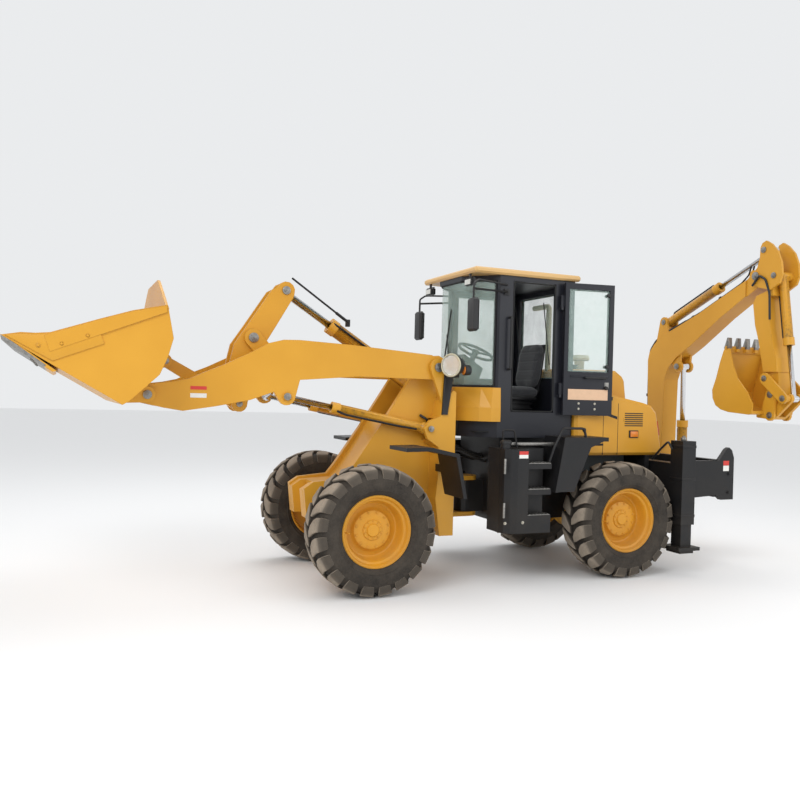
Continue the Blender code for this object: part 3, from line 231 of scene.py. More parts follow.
def paintMaterial(name, colour, dark, roughness=0.34, wear=0.5, dust=0.45, coat=0.10, radius=0.006):
    # sprayed machine paint: slow tone drift, orange peel, chipped corners and settled dust
    material, tree, shader = newMaterial(name, colour, roughness)
    edge = placeGroup(tree, edgeGroup, Radius=radius * 1.6, Wear=wear, Dust=dust)
    skin = placeGroup(tree, skinGroup, Scale=90.0, Depth=0.25)
    toned = mixColour(tree, edge.outputs["Tone"], colour, dark)
    dusty = mixColour(tree, edge.outputs["Dust"], toned, dustColour)
    worn = mixColour(tree, edge.outputs["Edge"], dusty, primerColour)
    tree.links.new(worn, shader.inputs["Base Color"])
    rough = mathNode(tree, "ADD", roughness, mathNode(tree, "MULTIPLY", edge.outputs["Dust"], 0.4))
    rough = mathNode(tree, "ADD", rough, mathNode(tree, "MULTIPLY", skin.outputs["Speckle"], 0.10), True)
    tree.links.new(rough, shader.inputs["Roughness"])
    shader.inputs["Coat Weight"].default_value = coat
    shader.inputs["Specular IOR Level"].default_value = 0.32
    shader.inputs["Coat Roughness"].default_value = 0.12
    bumped(tree, shader, skin.outputs["Height"], 0.10, 0.0012, radius)
    return material


def plainMaterial(name, colour, roughness=0.5, metallic=0.0, grain=70.0, depth=0.5, bump=0.2,
                  tint=0.12, dust=0.0, radius=0.0):
    # plastic, rubber, bare metal: grain, faint mottling and an optional film of dust
    material, tree, shader = newMaterial(name, colour, roughness, metallic)
    skin = placeGroup(tree, skinGroup, Scale=grain, Depth=depth)
    darker = tuple(c * (1 - tint * 2.5) for c in colour)
    lighter = tuple(min(1.0, c * (1 + tint)) for c in colour)
    base = mixColour(tree, skin.outputs["Speckle"], darker, lighter)
    if dust:
        edge = placeGroup(tree, edgeGroup, Radius=0.004, Wear=0.0, Dust=dust)
        base = mixColour(tree, edge.outputs["Dust"], base, dustColour)
    tree.links.new(base, shader.inputs["Base Color"])
    rough = mathNode(tree, "ADD", roughness - 0.06, mathNode(tree, "MULTIPLY", skin.outputs["Speckle"], 0.16),
        True)
    tree.links.new(rough, shader.inputs["Roughness"])
    bumped(tree, shader, skin.outputs["Height"], bump, 0.001, radius)
    return material


def glassMaterial(name, colour, alpha=0.28, roughness=0.03):
    material, tree, shader = newMaterial(name, colour, roughness)
    skin = placeGroup(tree, skinGroup, Scale=5.0, Depth=0.2)
    tree.links.new(spread(tree, skin.outputs["Speckle"], 0.2, 0.8, roughness, roughness + 0.06),
        shader.inputs["Roughness"])
    tree.links.new(spread(tree, skin.outputs["Speckle"], 0.3, 0.7, alpha - 0.04, alpha + 0.05),
        shader.inputs["Alpha"])
    shader.inputs["Specular IOR Level"].default_value = 0.8
    material.surface_render_method = "BLENDED"
    return material


def rubberMaterial():
    # tyre compound: brown dust lies on the lug tops and fades to black side walls; the grooves between the
    # lugs are kept near black as painted shade
    material, tree, shader = newMaterial("tyreCompound", (0.02, 0.017, 0.015), 0.8)
    shader.inputs["Specular IOR Level"].default_value = 0.25
    where = addNode(tree, "TexCoord").outputs["Object"]
    shape = addNode(tree, "NewGeometry")
    split = addNode(tree, "SeparateXYZ")
    tree.links.new(shape.outputs["Normal"], split.inputs[0])
    side = mathNode(tree, "ABSOLUTE", split.outputs["Y"])
    tread = spread(tree, side, 0.55, 0.15)
    cloud = spread(tree, noiseOf(tree, where, 5.0, 6.0, 0.65), 0.32, 0.66)
    speck = spread(tree, noiseOf(tree, where, 60.0, 3.0, 0.7), 0.35, 0.75)
    # the lug-top mask is 1 on the lug tops and 0 at the lug roots and on the carcass: the tops take dust, the
    # grooves stay dark as painted shade
    worn = addNode(tree, "Attribute", attribute_name="lugDustGrooveShade").outputs["Fac"]
    worn = mathNode(tree, "MULTIPLY", spread(tree, worn, 0.35, 0.95), spread(tree, side, 0.95, 0.45, 0.22,
        1.0))
    share = mathNode(tree, "MULTIPLY", worn, spread(tree, cloud, 0.0, 1.0, 0.55, 1.0))
    # faint dust on the side walls, cut to 0.4 on faces that look out through the tread, so the groove floors
    # stay darker as painted shade
    wall = mathNode(tree, "MULTIPLY", cloud, 0.13)
    wall = mathNode(tree, "MULTIPLY", wall, spread(tree, tread, 0.0, 1.0, 1.0, 0.4))
    share = mathNode(tree, "MAXIMUM", share, wall)
    base = mixColour(tree, share, (0.015, 0.0125, 0.0105), (0.36, 0.30, 0.235))
    base = mixColour(tree, mathNode(tree, "MULTIPLY", speck, 0.25), base, (0.10, 0.085, 0.07))
    tree.links.new(base, shader.inputs["Base Color"])
    tree.links.new(spread(tree, cloud, 0.0, 1.0, 0.72, 0.92), shader.inputs["Roughness"])
    height = mathNode(tree, "ADD", noiseOf(tree, where, 130.0, 3.0), mathNode(tree, "MULTIPLY", noiseOf(tree,
        where, 14.0), 1.5))
    bumped(tree, shader, height, 0.35, 0.002)
    return material


def clothMaterial(name, colour, threads=420.0):
    # woven seat cloth: two crossed waves of thread with a soft sheen
    material, tree, shader = newMaterial(name, colour, 0.9)
    where = addNode(tree, "TexCoord").outputs["Object"]
    waves = []
    for direction in ("X", "Z", "Y"):
        wave = addNode(tree, "TexWave", bands_direction=direction, Scale=threads / 10, Distortion=0.6,
            Detail=1.0)
        tree.links.new(where, wave.inputs["Vector"])
        waves.append(wave.outputs["Fac"])
    weave = mathNode(tree, "MULTIPLY", mathNode(tree, "ADD", waves[0], waves[2]), waves[1])
    tree.links.new(mixColour(tree, weave, tuple(c * 0.6 for c in colour), tuple(c * 1.5 for c in colour)),
                   shader.inputs["Base Color"])
    shader.inputs["Sheen Weight"].default_value = 0.4
    bumped(tree, shader, weave, 0.3, 0.0008)
    return material


def chromeMaterial():
    material, tree, shader = newMaterial("pistonChrome", (0.72, 0.73, 0.75), 0.12, 1.0)
    where = addNode(tree, "TexCoord").outputs["Object"]
    streak = noiseOf(tree, where, 40.0, 4.0, 0.7)
    tree.links.new(spread(tree, streak, 0.3, 0.7, 0.07, 0.24), shader.inputs["Roughness"])
    bumped(tree, shader, streak, 0.05, 0.0005, 0.002)
    return material


yellowPaint = paintMaterial("machineYellow", (0.67, 0.335, 0.030), (0.56, 0.262, 0.018), wear=0.5, dust=0.40)
wheelPaint = paintMaterial("wheelYellow", (0.70, 0.335, 0.022), (0.60, 0.26, 0.014), wear=0.30, dust=0.35,
    radius=0.003)
roofPaint = paintMaterial("roofYellow", (0.66, 0.42, 0.17), (0.60, 0.36, 0.13), wear=0.15, dust=0.2)
blackPaint = paintMaterial("frameBlack", (0.010, 0.010, 0.011), (0.006, 0.006, 0.007), 0.42, 0.25, 0.14, 0.08)
cabPaint = paintMaterial("cabGraphite", (0.014, 0.015, 0.021), (0.009, 0.010, 0.015), 0.38, 0.15, 0.08, 0.12,
    0.005)
tyreRubber = rubberMaterial()
rodChrome = chromeMaterial()
cabGlass = glassMaterial("cabGlass", (0.50, 0.66, 0.60), 0.22)
lampGlass = glassMaterial("lampGlass", (0.85, 0.85, 0.82), 0.25)
blackPlastic = plainMaterial("mouldedBlack", (0.012, 0.012, 0.013), 0.5, grain=160.0, dust=0.12, radius=0.002)
sealRubber = plainMaterial("sealRubber", (0.012, 0.012, 0.012), 0.75, grain=120.0)
hoseRubber = plainMaterial("hoseRubber", (0.018, 0.018, 0.018), 0.55, grain=220.0, bump=0.3, dust=0.3)
bareSteel = plainMaterial("bareSteel", (0.34, 0.33, 0.31), 0.42, 0.9, grain=45.0, tint=0.25)
zincSteel = plainMaterial("zincSteel", (0.55, 0.52, 0.44), 0.35, 0.9, grain=90.0, tint=0.15)
castIron = plainMaterial("paintedCasting", (0.10, 0.115, 0.12), 0.6, 0.2, grain=40.0, depth=0.8, bump=0.5)
beigePlastic = plainMaterial("intakeBeige", (0.55, 0.51, 0.37), 0.5, grain=80.0, dust=0.5)
reflector = plainMaterial("lampReflector", (0.80, 0.78, 0.72), 0.15, 1.0, grain=30.0, tint=0.05)
mirrorFace = plainMaterial("mirrorFace", (0.80, 0.82, 0.82), 0.04, 1.0, grain=10.0, tint=0.02, bump=0.02)
amberLens = plainMaterial("amberLens", (0.75, 0.22, 0.02), 0.2, grain=60.0, tint=0.1)
redLens = plainMaterial("redLens", (0.45, 0.015, 0.01), 0.2, grain=60.0, tint=0.1)
plateWhite = plainMaterial("plateWhite", (0.78, 0.77, 0.73), 0.4, grain=30.0, tint=0.04)
plateRed = plainMaterial("plateRed", (0.62, 0.04, 0.03), 0.4, grain=30.0, tint=0.06)
platePeach = plainMaterial("platePeach", (0.72, 0.47, 0.30), 0.45, grain=30.0, tint=0.05)
seatCloth = clothMaterial("seatCloth", (0.035, 0.036, 0.040))
# the first finish of each slot is the one that CAD nodes take
slotFinishes = {"yellow_paint": (yellowPaint, wheelPaint), "roof_paint": (roofPaint,),
    "black_paint": (blackPaint,),
                "cab_paint": (cabPaint, cabGlass), "tyre_rubber": (tyreRubber,), "rod_chrome": (rodChrome,
                    mirrorFace),
                "seat_cloth": (seatCloth,), "engine_iron": (castIron, bareSteel, zincSteel),
                "black_plastic": (blackPlastic, sealRubber, hoseRubber, plateWhite, plateRed),
                "intake_beige": (beigePlastic, reflector, lampGlass, amberLens, redLens, platePeach)}
print("materials ready")


# mesh helpers
def fresh(bm, before):
    return [v for v in bm.verts if v not in before]


def roundEdges(bm, edges, width, segments=2):
    if edges and width:
        bmesh.ops.bevel(bm, geom=edges, offset=width, offset_type="OFFSET", affect="EDGES",
                        segments=segments, profile=0.5, material=-1, clamp_overlap=True)


def addBox(bm, low, high, bevel=0.0, segments=2, turn=None, about=None):
    before = set(bm.verts)
    verts = bmesh.ops.create_cube(bm, size=1.0)["verts"]
    low, high = Vector(low), Vector(high)
    bmesh.ops.scale(bm, vec=[abs(v) for v in high - low], verts=verts)
    roundEdges(bm, list({e for v in verts for e in v.link_edges}), bevel, segments)
    verts = fresh(bm, before)
    bmesh.ops.translate(bm, vec=(low + high) / 2, verts=verts)
    if turn:
        bmesh.ops.rotate(bm, cent=about if about else (low + high) / 2, matrix=turn, verts=verts)
    return verts


def addRod(bm, start, end, radius, sides=20, tip=None, bevel=0.0):
    start, end = Vector(start), Vector(end)
    before = set(bm.verts)
    verts = bmesh.ops.create_cone(bm, cap_ends=True, segments=sides, radius1=radius,
                                  radius2=radius if tip is None else tip, depth=(end - start).length)["verts"]
    rims = [e for e in {e for v in verts for e in v.link_edges}
            if abs(e.verts[0].co.z - e.verts[1].co.z) < 1e-6]
    roundEdges(bm, rims, bevel)
    verts = fresh(bm, before)
    turn = Vector((0, 0, 1)).rotation_difference(end - start).to_matrix()
    bmesh.ops.rotate(bm, cent=(0, 0, 0), matrix=turn, verts=verts)
    bmesh.ops.translate(bm, vec=(start + end) / 2, verts=verts)
    return verts


def rearBox(bm, low, high, bevel=0.0, segments=2, turn=None):
    return addBox(bm, atRear(*low), atRear(*high), bevel, segments, turn)


def rearRod(bm, start, end, radius, sides=20, bevel=0.0):
    return addRod(bm, atRear(*start), atRear(*end), radius, sides, bevel=bevel)


def addBolt(bm, at, axis, size=0.011, washer=1.7):
    at, axis = Vector(at), Vector(axis).normalized()
    addRod(bm, at - axis * size * 0.3, at + axis * size * 0.3, size * washer, 14)
    addRod(bm, at + axis * size * 0.2, at + axis * size * 1.15, size, 6, bevel=size * 0.12)


def addPlate(bm, outline, across, low, high, bevel=0.0):
    # outline pairs lie in the plane that the letter names as its normal
    before = set(bm.verts)
    if across == "y":
        spots = [(a, low, b) for a, b in outline]
        push = (0, high - low, 0)
    elif across == "x":
        spots = [(low, a, b) for a, b in outline]
        push = (high - low, 0, 0)
    else:
        spots = [(a, b, low) for a, b in outline]
        push = (0, 0, high - low)
    face = bm.faces.new([bm.verts.new(s) for s in spots])
    made = bmesh.ops.extrude_face_region(bm, geom=[face])["geom"]
    bmesh.ops.translate(bm, vec=push, verts=[g for g in made if isinstance(g, bmesh.types.BMVert)])
    verts = fresh(bm, before)
    faces = list({f for v in verts for f in v.link_faces})
    bmesh.ops.recalc_face_normals(bm, faces=faces)
    if bevel:
        edges = [e for e in {e for v in verts for e in v.link_edges} if e.calc_face_angle(0) > radians(20)]
        roundEdges(bm, edges, bevel)
    return fresh(bm, before)


def turnProfile(bm, profile, centre, axis, steps=48):
    # profile pairs are radius and height along the axis
    before = set(bm.verts)
    chain = [bm.verts.new((r, 0, a)) for r, a in profile]
    edges = [bm.edges.new(pair) for pair in zip(chain, chain[1:])]
    bmesh.ops.spin(bm, geom=chain + edges, cent=(0, 0, 0), axis=(0, 0, 1), angle=2 * pi, steps=steps,
                   use_merge=True)
    verts = fresh(bm, before)
    bmesh.ops.remove_doubles(bm, verts=verts, dist=1e-5)
    verts = fresh(bm, before)
    turn = Vector((0, 0, 1)).rotation_difference(Vector(axis)).to_matrix()
    bmesh.ops.rotate(bm, cent=(0, 0, 0), matrix=turn, verts=verts)
    bmesh.ops.translate(bm, vec=centre, verts=verts)
    return verts


def addRing(bm, centre, axis, major, minor, steps=36, section=8):
    circle = [(major + minor * cos(2 * pi * k / section), minor * sin(2 * pi * k / section))
              for k in range(section)]
    return turnProfile(bm, circle + circle[:1], centre, axis, steps)


def finishPiece(bm, name, material, body="chassis", sharp=32.0):
    bmesh.ops.recalc_face_normals(bm, faces=bm.faces)
    mesh = bpy.data.meshes.new(name)
    bm.to_mesh(mesh)
    bm.free()
    mesh.materials.append(material)
    mesh.shade_smooth()
    mesh.set_sharp_from_angle(angle=radians(sharp))
    piece = bpy.data.objects.new(name, mesh)
    bpy.context.scene.collection.objects.link(piece)
    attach(piece, body)
    return piece


def addTubes(name, paths, radius, material, body="chassis", bend=0.05, sides=3):
    # each path is a list of corners; the corners are rounded over the bend length
    curve = bpy.data.curves.new(name, "CURVE")
    curve.dimensions = "3D"
    curve.bevel_depth = radius
    curve.bevel_resolution = sides
    curve.use_fill_caps = True
    for path in paths:
        path = [Vector(p) for p in path]
        points = [path[0]]
        for before, here, after in zip(path, path[1:], path[2:]):
            back, on = before - here, after - here
            points.append(here + back.normalized() * min(bend, back.length * 0.45))
            points.append(here)
            points.append(here + on.normalized() * min(bend, on.length * 0.45))
        points.append(path[-1])
        spline = curve.splines.new("NURBS")
        spline.points.add(len(points) - 1)
        for k, point in enumerate(points):
            spline.points[k].co = (*point, 1.0)
        spline.order_u = 3
        spline.use_endpoint_u = True
        spline.resolution_u = 5
    curve.materials.append(material)
    piece = bpy.data.objects.new(name, curve)
    bpy.context.scene.collection.objects.link(piece)
    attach(piece, body)
    return piece


nodeSlots = {row["node"]: row["material_slot"] for row in frame["record"]["subparts"]}
sideNames = (("left", 1), ("right", -1))


def smoothCopy(node, material, sharp=32.0, name=None):
    # the CAD shape merged and shaded round, standing for its node
    bm = bmesh.new()
    bm.from_mesh(nodes[node].data)
    bmesh.ops.remove_doubles(bm, verts=bm.verts, dist=1e-5)
    bmesh.ops.dissolve_limit(bm, angle_limit=radians(0.5), verts=bm.verts, edges=bm.edges)
    bmesh.ops.triangulate(bm, faces=[f for f in bm.faces if len(f.verts) > 4])
    piece = finishPiece(bm, name or node + "Skin", material, nodes[node]["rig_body"], sharp)
    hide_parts(node)
    return piece


# wheels: carcass, staggered lugs, rim with its dish, hub and bolts
wheelSizes = {"lugsEachSide": 20, "lugHeight": 0.036, "hubBolts": 12, "flangeBolts": 10, "steps": 80}


def makeTyre(name, centre, out):
    # out is +1 where the outer face looks to +Y
    radius = (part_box(name)[1].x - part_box(name)[0].x) / 2
    half = (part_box(name)[1].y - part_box(name)[0].y) / 2
    floor = radius - wheelSizes["lugHeight"]
    bm = bmesh.new()
    section = [(0.316, 0.146), (0.330, 0.172), (0.350, 0.190), (0.365, 0.198), (0.369, 0.203),
        (0.374, 0.2035),
               (0.378, 0.201), (0.405, half - 0.003), (0.440, half), (0.466, half - 0.001), (0.471, half),
               (0.477, half - 0.001), (0.492, half - 0.010), (0.512, half - 0.024), (floor - 0.014,
                   half - 0.048),
               (floor - 0.003, half - 0.075), (floor, half - 0.120), (floor + 0.001, 0.0)]
    section = section + [(r, -a) for r, a in reversed(section[:-1])]
    section += [(0.314, -0.10), (0.314, 0.10), section[0]]
    # lug tops are marked 1 and lug roots 0; in the tyre material the tops take dust and the grooves stay dark
    # as painted shade
    dustAndGrooveShadeMask = bm.verts.layers.float.new("lugDustGrooveShade")
    turnProfile(bm, section, (0, 0, 0), (0, 0, 1), wheelSizes["steps"])
    count = wheelSizes["lugsEachSide"]
    for side in (-1, 1):
        for k in range(count):
            base = 2 * pi * (k + (0.5 if side > 0 else 0.0)) / count
            pitch = 2 * pi / count
            # a hooked block: narrow near the middle, wide at the shoulder
            lean = 0.50 * pitch
            rails = [(0.012, radius - 0.001, -0.12, 0.20, 1.10), (0.050, radius, -0.28, 0.28, 0.80),
                     (0.100, radius - 0.003, -0.355, 0.345, 0.38), (0.150, radius - 0.010, -0.365, 0.355,
                         0.12),
                     (half - 0.020, radius - 0.028, -0.36, 0.35, 0.0), (half - 0.004, radius - 0.066, -0.355,
                         0.345, -0.04),
                     (half, radius - 0.108, -0.33, 0.32, -0.06)]
            roots = [(0.012, floor - 0.006), (0.050, floor - 0.006), (0.100, floor - 0.006),
                     (0.140, floor - 0.012), (half - 0.055, floor - 0.018), (half - 0.036, floor - 0.040),
                     (half - 0.014, floor - 0.080)]
            rows = []
            for (a, r, early, late, shift), (deepA, deepR) in zip(rails, roots):
                row = []
                for r2, a2, share in ((deepR, deepA, early - 0.03), (r, a, early), (r, a, late),
                    (deepR, deepA, late + 0.03)):
                    angle = base + shift * lean + share * pitch
                    row.append(bm.verts.new((r2 * cos(angle), r2 * sin(angle), side * a2)))
                    row[-1][dustAndGrooveShadeMask] = float(r2 == r)
                rows.append(row)
            for one, two in zip(rows, rows[1:]):
                for m in range(3):
                    bm.faces.new((one[m], one[m + 1], two[m + 1], two[m]))
                bm.faces.new((one[3], one[0], two[0], two[3]))
            bm.faces.new(rows[0][::-1])
            bm.faces.new(rows[-1])
    turn = Vector((0, 0, 1)).rotation_difference(Vector((0, out, 0))).to_matrix()
    bmesh.ops.rotate(bm, cent=(0, 0, 0), matrix=turn, verts=bm.verts)
    bmesh.ops.translate(bm, vec=centre, verts=bm.verts)
    lugs = [e for e in bm.edges if len(e.link_faces) == 2 and len(e.link_faces[0].verts) == 4
            and e.calc_face_angle(0) > radians(38)
            and min((v.co - centre).cross(Vector((0, 1, 0))).length for v in e.verts) > floor + 0.004]
    roundEdges(bm, lugs, 0.005, 1)
    piece = finishPiece(bm, name + "Tread", tyreRubber, nodes[name]["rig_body"], 34.0)
    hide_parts(name)


def makeRim(name, centre, out):
    bm = bmesh.new()
    face = [(0.0, 0.078), (0.052, 0.078), (0.056, 0.074), (0.062, 0.062), (0.070, 0.060), (0.088, 0.060),
            (0.094, 0.050), (0.165, 0.048), (0.174, 0.044), (0.182, 0.030), (0.192, 0.018), (0.205, 0.010),
            (0.236, 0.006), (0.246, 0.012), (0.254, 0.030), (0.262, 0.075), (0.268, 0.112), (0.274, 0.122),
            (0.292, 0.128), (0.296, 0.134), (0.300, 0.158), (0.306, 0.166), (0.324, 0.169), (0.3275, 0.165),
            (0.3275, 0.148), (0.3125, 0.142), (0.3125, -0.142), (0.3275, -0.148), (0.3275, -0.168),
            (0.316, -0.170), (0.300, -0.150), (0.290, -0.110), (0.284, -0.030), (0.250, -0.022),
                (0.190, -0.030),
            (0.0, -0.038)]
    turnProfile(bm, face, (0, 0, 0), (0, 0, 1), 72)
    addRod(bm, (0.283, 0, 0.12), (0.262, 0, 0.175), 0.006, 10)  # valve stem
    addRing(bm, (0, 0, 0.170), (0, 0, 1), 0.3175, 0.005, 72, 6)
    turn = Vector((0, 0, 1)).rotation_difference(Vector((0, out, 0))).to_matrix()
    bmesh.ops.rotate(bm, cent=(0, 0, 0), matrix=turn, verts=bm.verts)
    bmesh.ops.translate(bm, vec=centre, verts=bm.verts)
    body = nodes[name]["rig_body"]
    piece = finishPiece(bm, name + "Dish", wheelPaint, body, 28.0)
    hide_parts(name)
    bm = bmesh.new()
    for count, ring, height, size in ((wheelSizes["hubBolts"], 0.158, 0.049, 0.008),
                                      (wheelSizes["flangeBolts"], 0.080, 0.060, 0.0055)):
        for k in range(count):
            angle = 2 * pi * (k + 0.5) / count
            addBolt(bm, centre + Vector((ring * cos(angle), out * height, ring * sin(angle))), (0, out, 0),
                size)
    finishPiece(bm, name + "Bolts", wheelPaint, body)


for name in ("front_left", "front_right", "rear_left", "rear_right"):
    centre = middleOf(name + "_rim")
    centre.y = middleOf(name + "_tyre").y
    out = 1 if name.endswith("left") else -1
    makeTyre(name + "_tyre", centre, out)
    makeRim(name + "_rim", centre, out)
print("wheels built")


# hydraulic cylinders keep their CAD shapes, merged and shaded round
for name in ("lift_left", "lift_right", "tilt", "boom", "dipper", "bucket"):
    smoothCopy(name + "_barrel", yellowPaint)
    smoothCopy(name + "_rod", rodChrome)


def pinPair(axis, at, low, high, radius, name, body, thick=0.012):
    # a pin's two end caps with a retaining bolt in each
    bm = bmesh.new()
    way = Vector({"x": (1, 0, 0), "y": (0, 1, 0)}[axis])
    for edge, out in ((low, -1), (high, 1)):
        foot = Vector(at)
        foot[0 if axis == "x" else 1] = edge
        addRod(bm, foot - way * out * 0.004, foot + way * out * thick, radius, 24, bevel=0.003)
        addRod(bm, foot + way * out * thick * 0.8, foot + way * out * (thick + 0.005), radius * 0.55, 20,
            bevel=0.0015)
        addBolt(bm, foot + way * out * thick, way * out, radius * 0.20)
    return finishPiece(bm, name, bareSteel, body)


armPins = {"liftPivotCaps": ((-0.8, 1.4925), 0.499, 0.045, "front_body"), "bucketPinCaps": ((1.92, 1.1625),
    0.486, 0.038, "front_bucket"),
           "liftEyeCaps": ((0.7, 1.1725), 0.462, 0.034, "loader_arms"), "crankPivotCaps": ((0.95, 1.7125),
               0.146, 0.046, "loader_arms"),
           "crankTopCaps": ((0.64, 2.1775), 0.111, 0.040, "crank"), "crankLowCaps": ((1.06, 1.0925), 0.111,
               0.029, "crank"),
           "bucketEarCaps": ((1.73, 1.4675), 0.076, 0.032, "front_bucket"), "tiltBaseCaps": ((-0.72, 1.3175),
               0.106, 0.036, "front_body"),
           "liftBaseCaps": ((-0.73, 0.8925), 0.505, 0.030, "front_body")}
for name, (spot, reach, radius, body) in armPins.items():
    at = atFront(spot[0], 0, spot[1])
    pinPair("y", at, frontAxle.y - reach, frontAxle.y + reach, radius, name, body)

hoeX = middleOf("boom").x
hoePins = {"boomFootCaps": ((-0.5, 0.4625), 0.163, 0.050, "slew_post"), "boomBaseCaps": ((-0.13, 0.1325),
    0.150, 0.040, "slew_post"),
           "boomEyeCaps": ((-0.15, 1.6525), 0.110, 0.036, "hoe_boom"), "dipperPinCaps": ((1.06, 2.6025),
               0.150, 0.044, "hoe_dipper"),
           "dipperBaseCaps": ((-0.42, 2.2125), 0.090, 0.034, "hoe_boom"), "dipperEyeCaps": ((1.15, 2.8725),
               0.138, 0.034, "hoe_dipper"),
           "dipperSeatCaps": ((1.29, 2.5825), 0.138, 0.032, "hoe_dipper"), "rockerPivotCaps": ((1.23, 1.4925),
               0.168, 0.032, "hoe_rocker"),
           "rockerPinCaps": ((1.47, 1.2825), 0.168, 0.032, "hoe_rocker"), "digPinCaps": ((1.28, 1.3225),
               0.130, 0.036, "hoe_bucket"),
           "digEarCaps": ((1.28, 1.1025), 0.130, 0.034, "hoe_bucket")}
for name, (spot, reach, radius, body) in hoePins.items():
    at = Vector((hoeX, rearAxle.y + spot[0], rearAxle.z + spot[1]))
    pinPair("x", at, hoeX - reach, hoeX + reach, radius, name, body, 0.010)
print("cylinders and pins built")


# loader bucket: edges and wear strips
def loaderTrim():
    cheek = 1.058
    half = cheek - 0.002
    bm = bmesh.new()
    addPlate(bm, [(2.70, 1.3655), (2.715, 1.3565), (3.004, 1.5400), (3.0145, 1.5780), (2.985, 1.5690)], "y",
        -half, half, 0.002)
    bmesh.ops.translate(bm, vec=frontAxle, verts=bm.verts)
    for k in range(9):
        addBolt(bm, atFront(2.80, (k - 4) * 0.235, 1.4125), (0.53, 0, -0.85), 0.012)
    finishPiece(bm, "cuttingEdge", bareSteel, "front_bucket")
    bm = bmesh.new()
    plate = [(2.30, 1.545), (2.66, 1.400), (2.985, 1.578), (2.88, 1.5905), (2.78, 1.5905), (2.68, 1.6005),
        (2.36, 1.700)]
    for side in (1, -1):
        verts = addPlate(bm, plate, "y", side * cheek, side * (cheek + 0.009), 0.002)
        bmesh.ops.translate(bm, vec=frontAxle, verts=verts)
        for x, z in ((2.42, 1.60), (2.60, 1.53), (2.76, 1.51)):
            addBolt(bm, atFront(x, side * (cheek + 0.009), z), (0, side, 0), 0.010)
    finishPiece(bm, "cheekPlates", yellowPaint, "front_bucket")


loaderTrim()


def makeTubesAtFront(name, paths, radius, material, body="chassis", bend=0.05):
    return addTubes(name, [[atFront(*p) for p in path] for path in paths], radius, material, body, bend)


def makeTubesAtRear(name, paths, radius, material, body="chassis", bend=0.05):
    return addTubes(name, [[atRear(*p) for p in path] for path in paths], radius, material, body, bend)


def label(name, low, high, material, body="chassis"):
    bm = bmesh.new()
    addBox(bm, low, high, 0.0006, 1)
    return finishPiece(bm, name, material, body)


# hoses and pipes of the loader
for name, side in sideNames:
    y = side * 0.345
    makeTubesAtFront(name + "LiftPipe", [[(-0.62, y + side * 0.058, 0.885), (-0.40, y + side * 0.066, 0.918),
                     (0.12, y + side * 0.066, 1.015), (0.20, y + side * 0.052, 1.048)]], 0.011, blackPaint,
                         f"lift_{name}_cylinder")
    makeTubesAtFront(name + "LiftHose", [[(-0.70, side * 0.300, 1.02), (-0.75, side * 0.335, 0.985),
        (-0.82, side * 0.300, 0.93)]],
                     0.013, hoseRubber, "front_body", 0.03)
makeTubesAtFront("tiltPipes", [[(-0.60, 0.055, 1.450), (-0.45, 0.082, 1.515), (0.10, 0.082, 1.865),
    (0.16, 0.06, 1.905)],
                 [(-0.62, -0.055, 1.440), (-0.50, -0.082, 1.485), (-0.36, -0.082, 1.572), (-0.30, -0.06,
                     1.612)]],
                 0.010, blackPaint, "tilt_cylinder")
makeTubesAtFront("towerHoses", [[(-0.90, y, 1.30), (-0.90, y, 1.52), (-0.84, y, 1.60), (-0.75, y, 1.56),
    (-0.70, y, 1.44)]
                 for y in (-0.155, -0.124, 0.124, 0.155)], 0.013, hoseRubber, "front_body", 0.06)
makeTubesAtFront("centreHoses", [[(-1.02, y, 0.62 + dz), (-1.22, y * 1.2, 0.66 + dz), (-1.40, y * 1.3,
    0.58 + dz), (-1.62, y, 0.52 + dz)]
                 for y, dz in ((-0.12, 0.0), (-0.06, 0.04), (0.0, 0.06), (0.06, 0.04), (0.12, 0.0))], 0.014,
                     hoseRubber, "chassis", 0.09)


def indicatorBar():
    # the bucket level gauge: a slim sliding bar above the tilt cylinder
    bm = bmesh.new()
    start, end = Vector(atFront(0.585, 0.10, 2.30)), Vector(atFront(0.02, 0.10, 1.92))
    addRod(bm, start, end, 0.010, 12, bevel=0.002)
    addRod(bm, end - (start - end).normalized() * 0.02, end + (start - end).normalized() * 0.14, 0.015, 12,
        bevel=0.002)
    addBox(bm, end + Vector((-0.03, -0.03, -0.05)), end + Vector((0.01, 0.01, 0.02)), 0.003)
    finishPiece(bm, "levelBar", blackPaint, "tilt_cylinder")


indicatorBar()


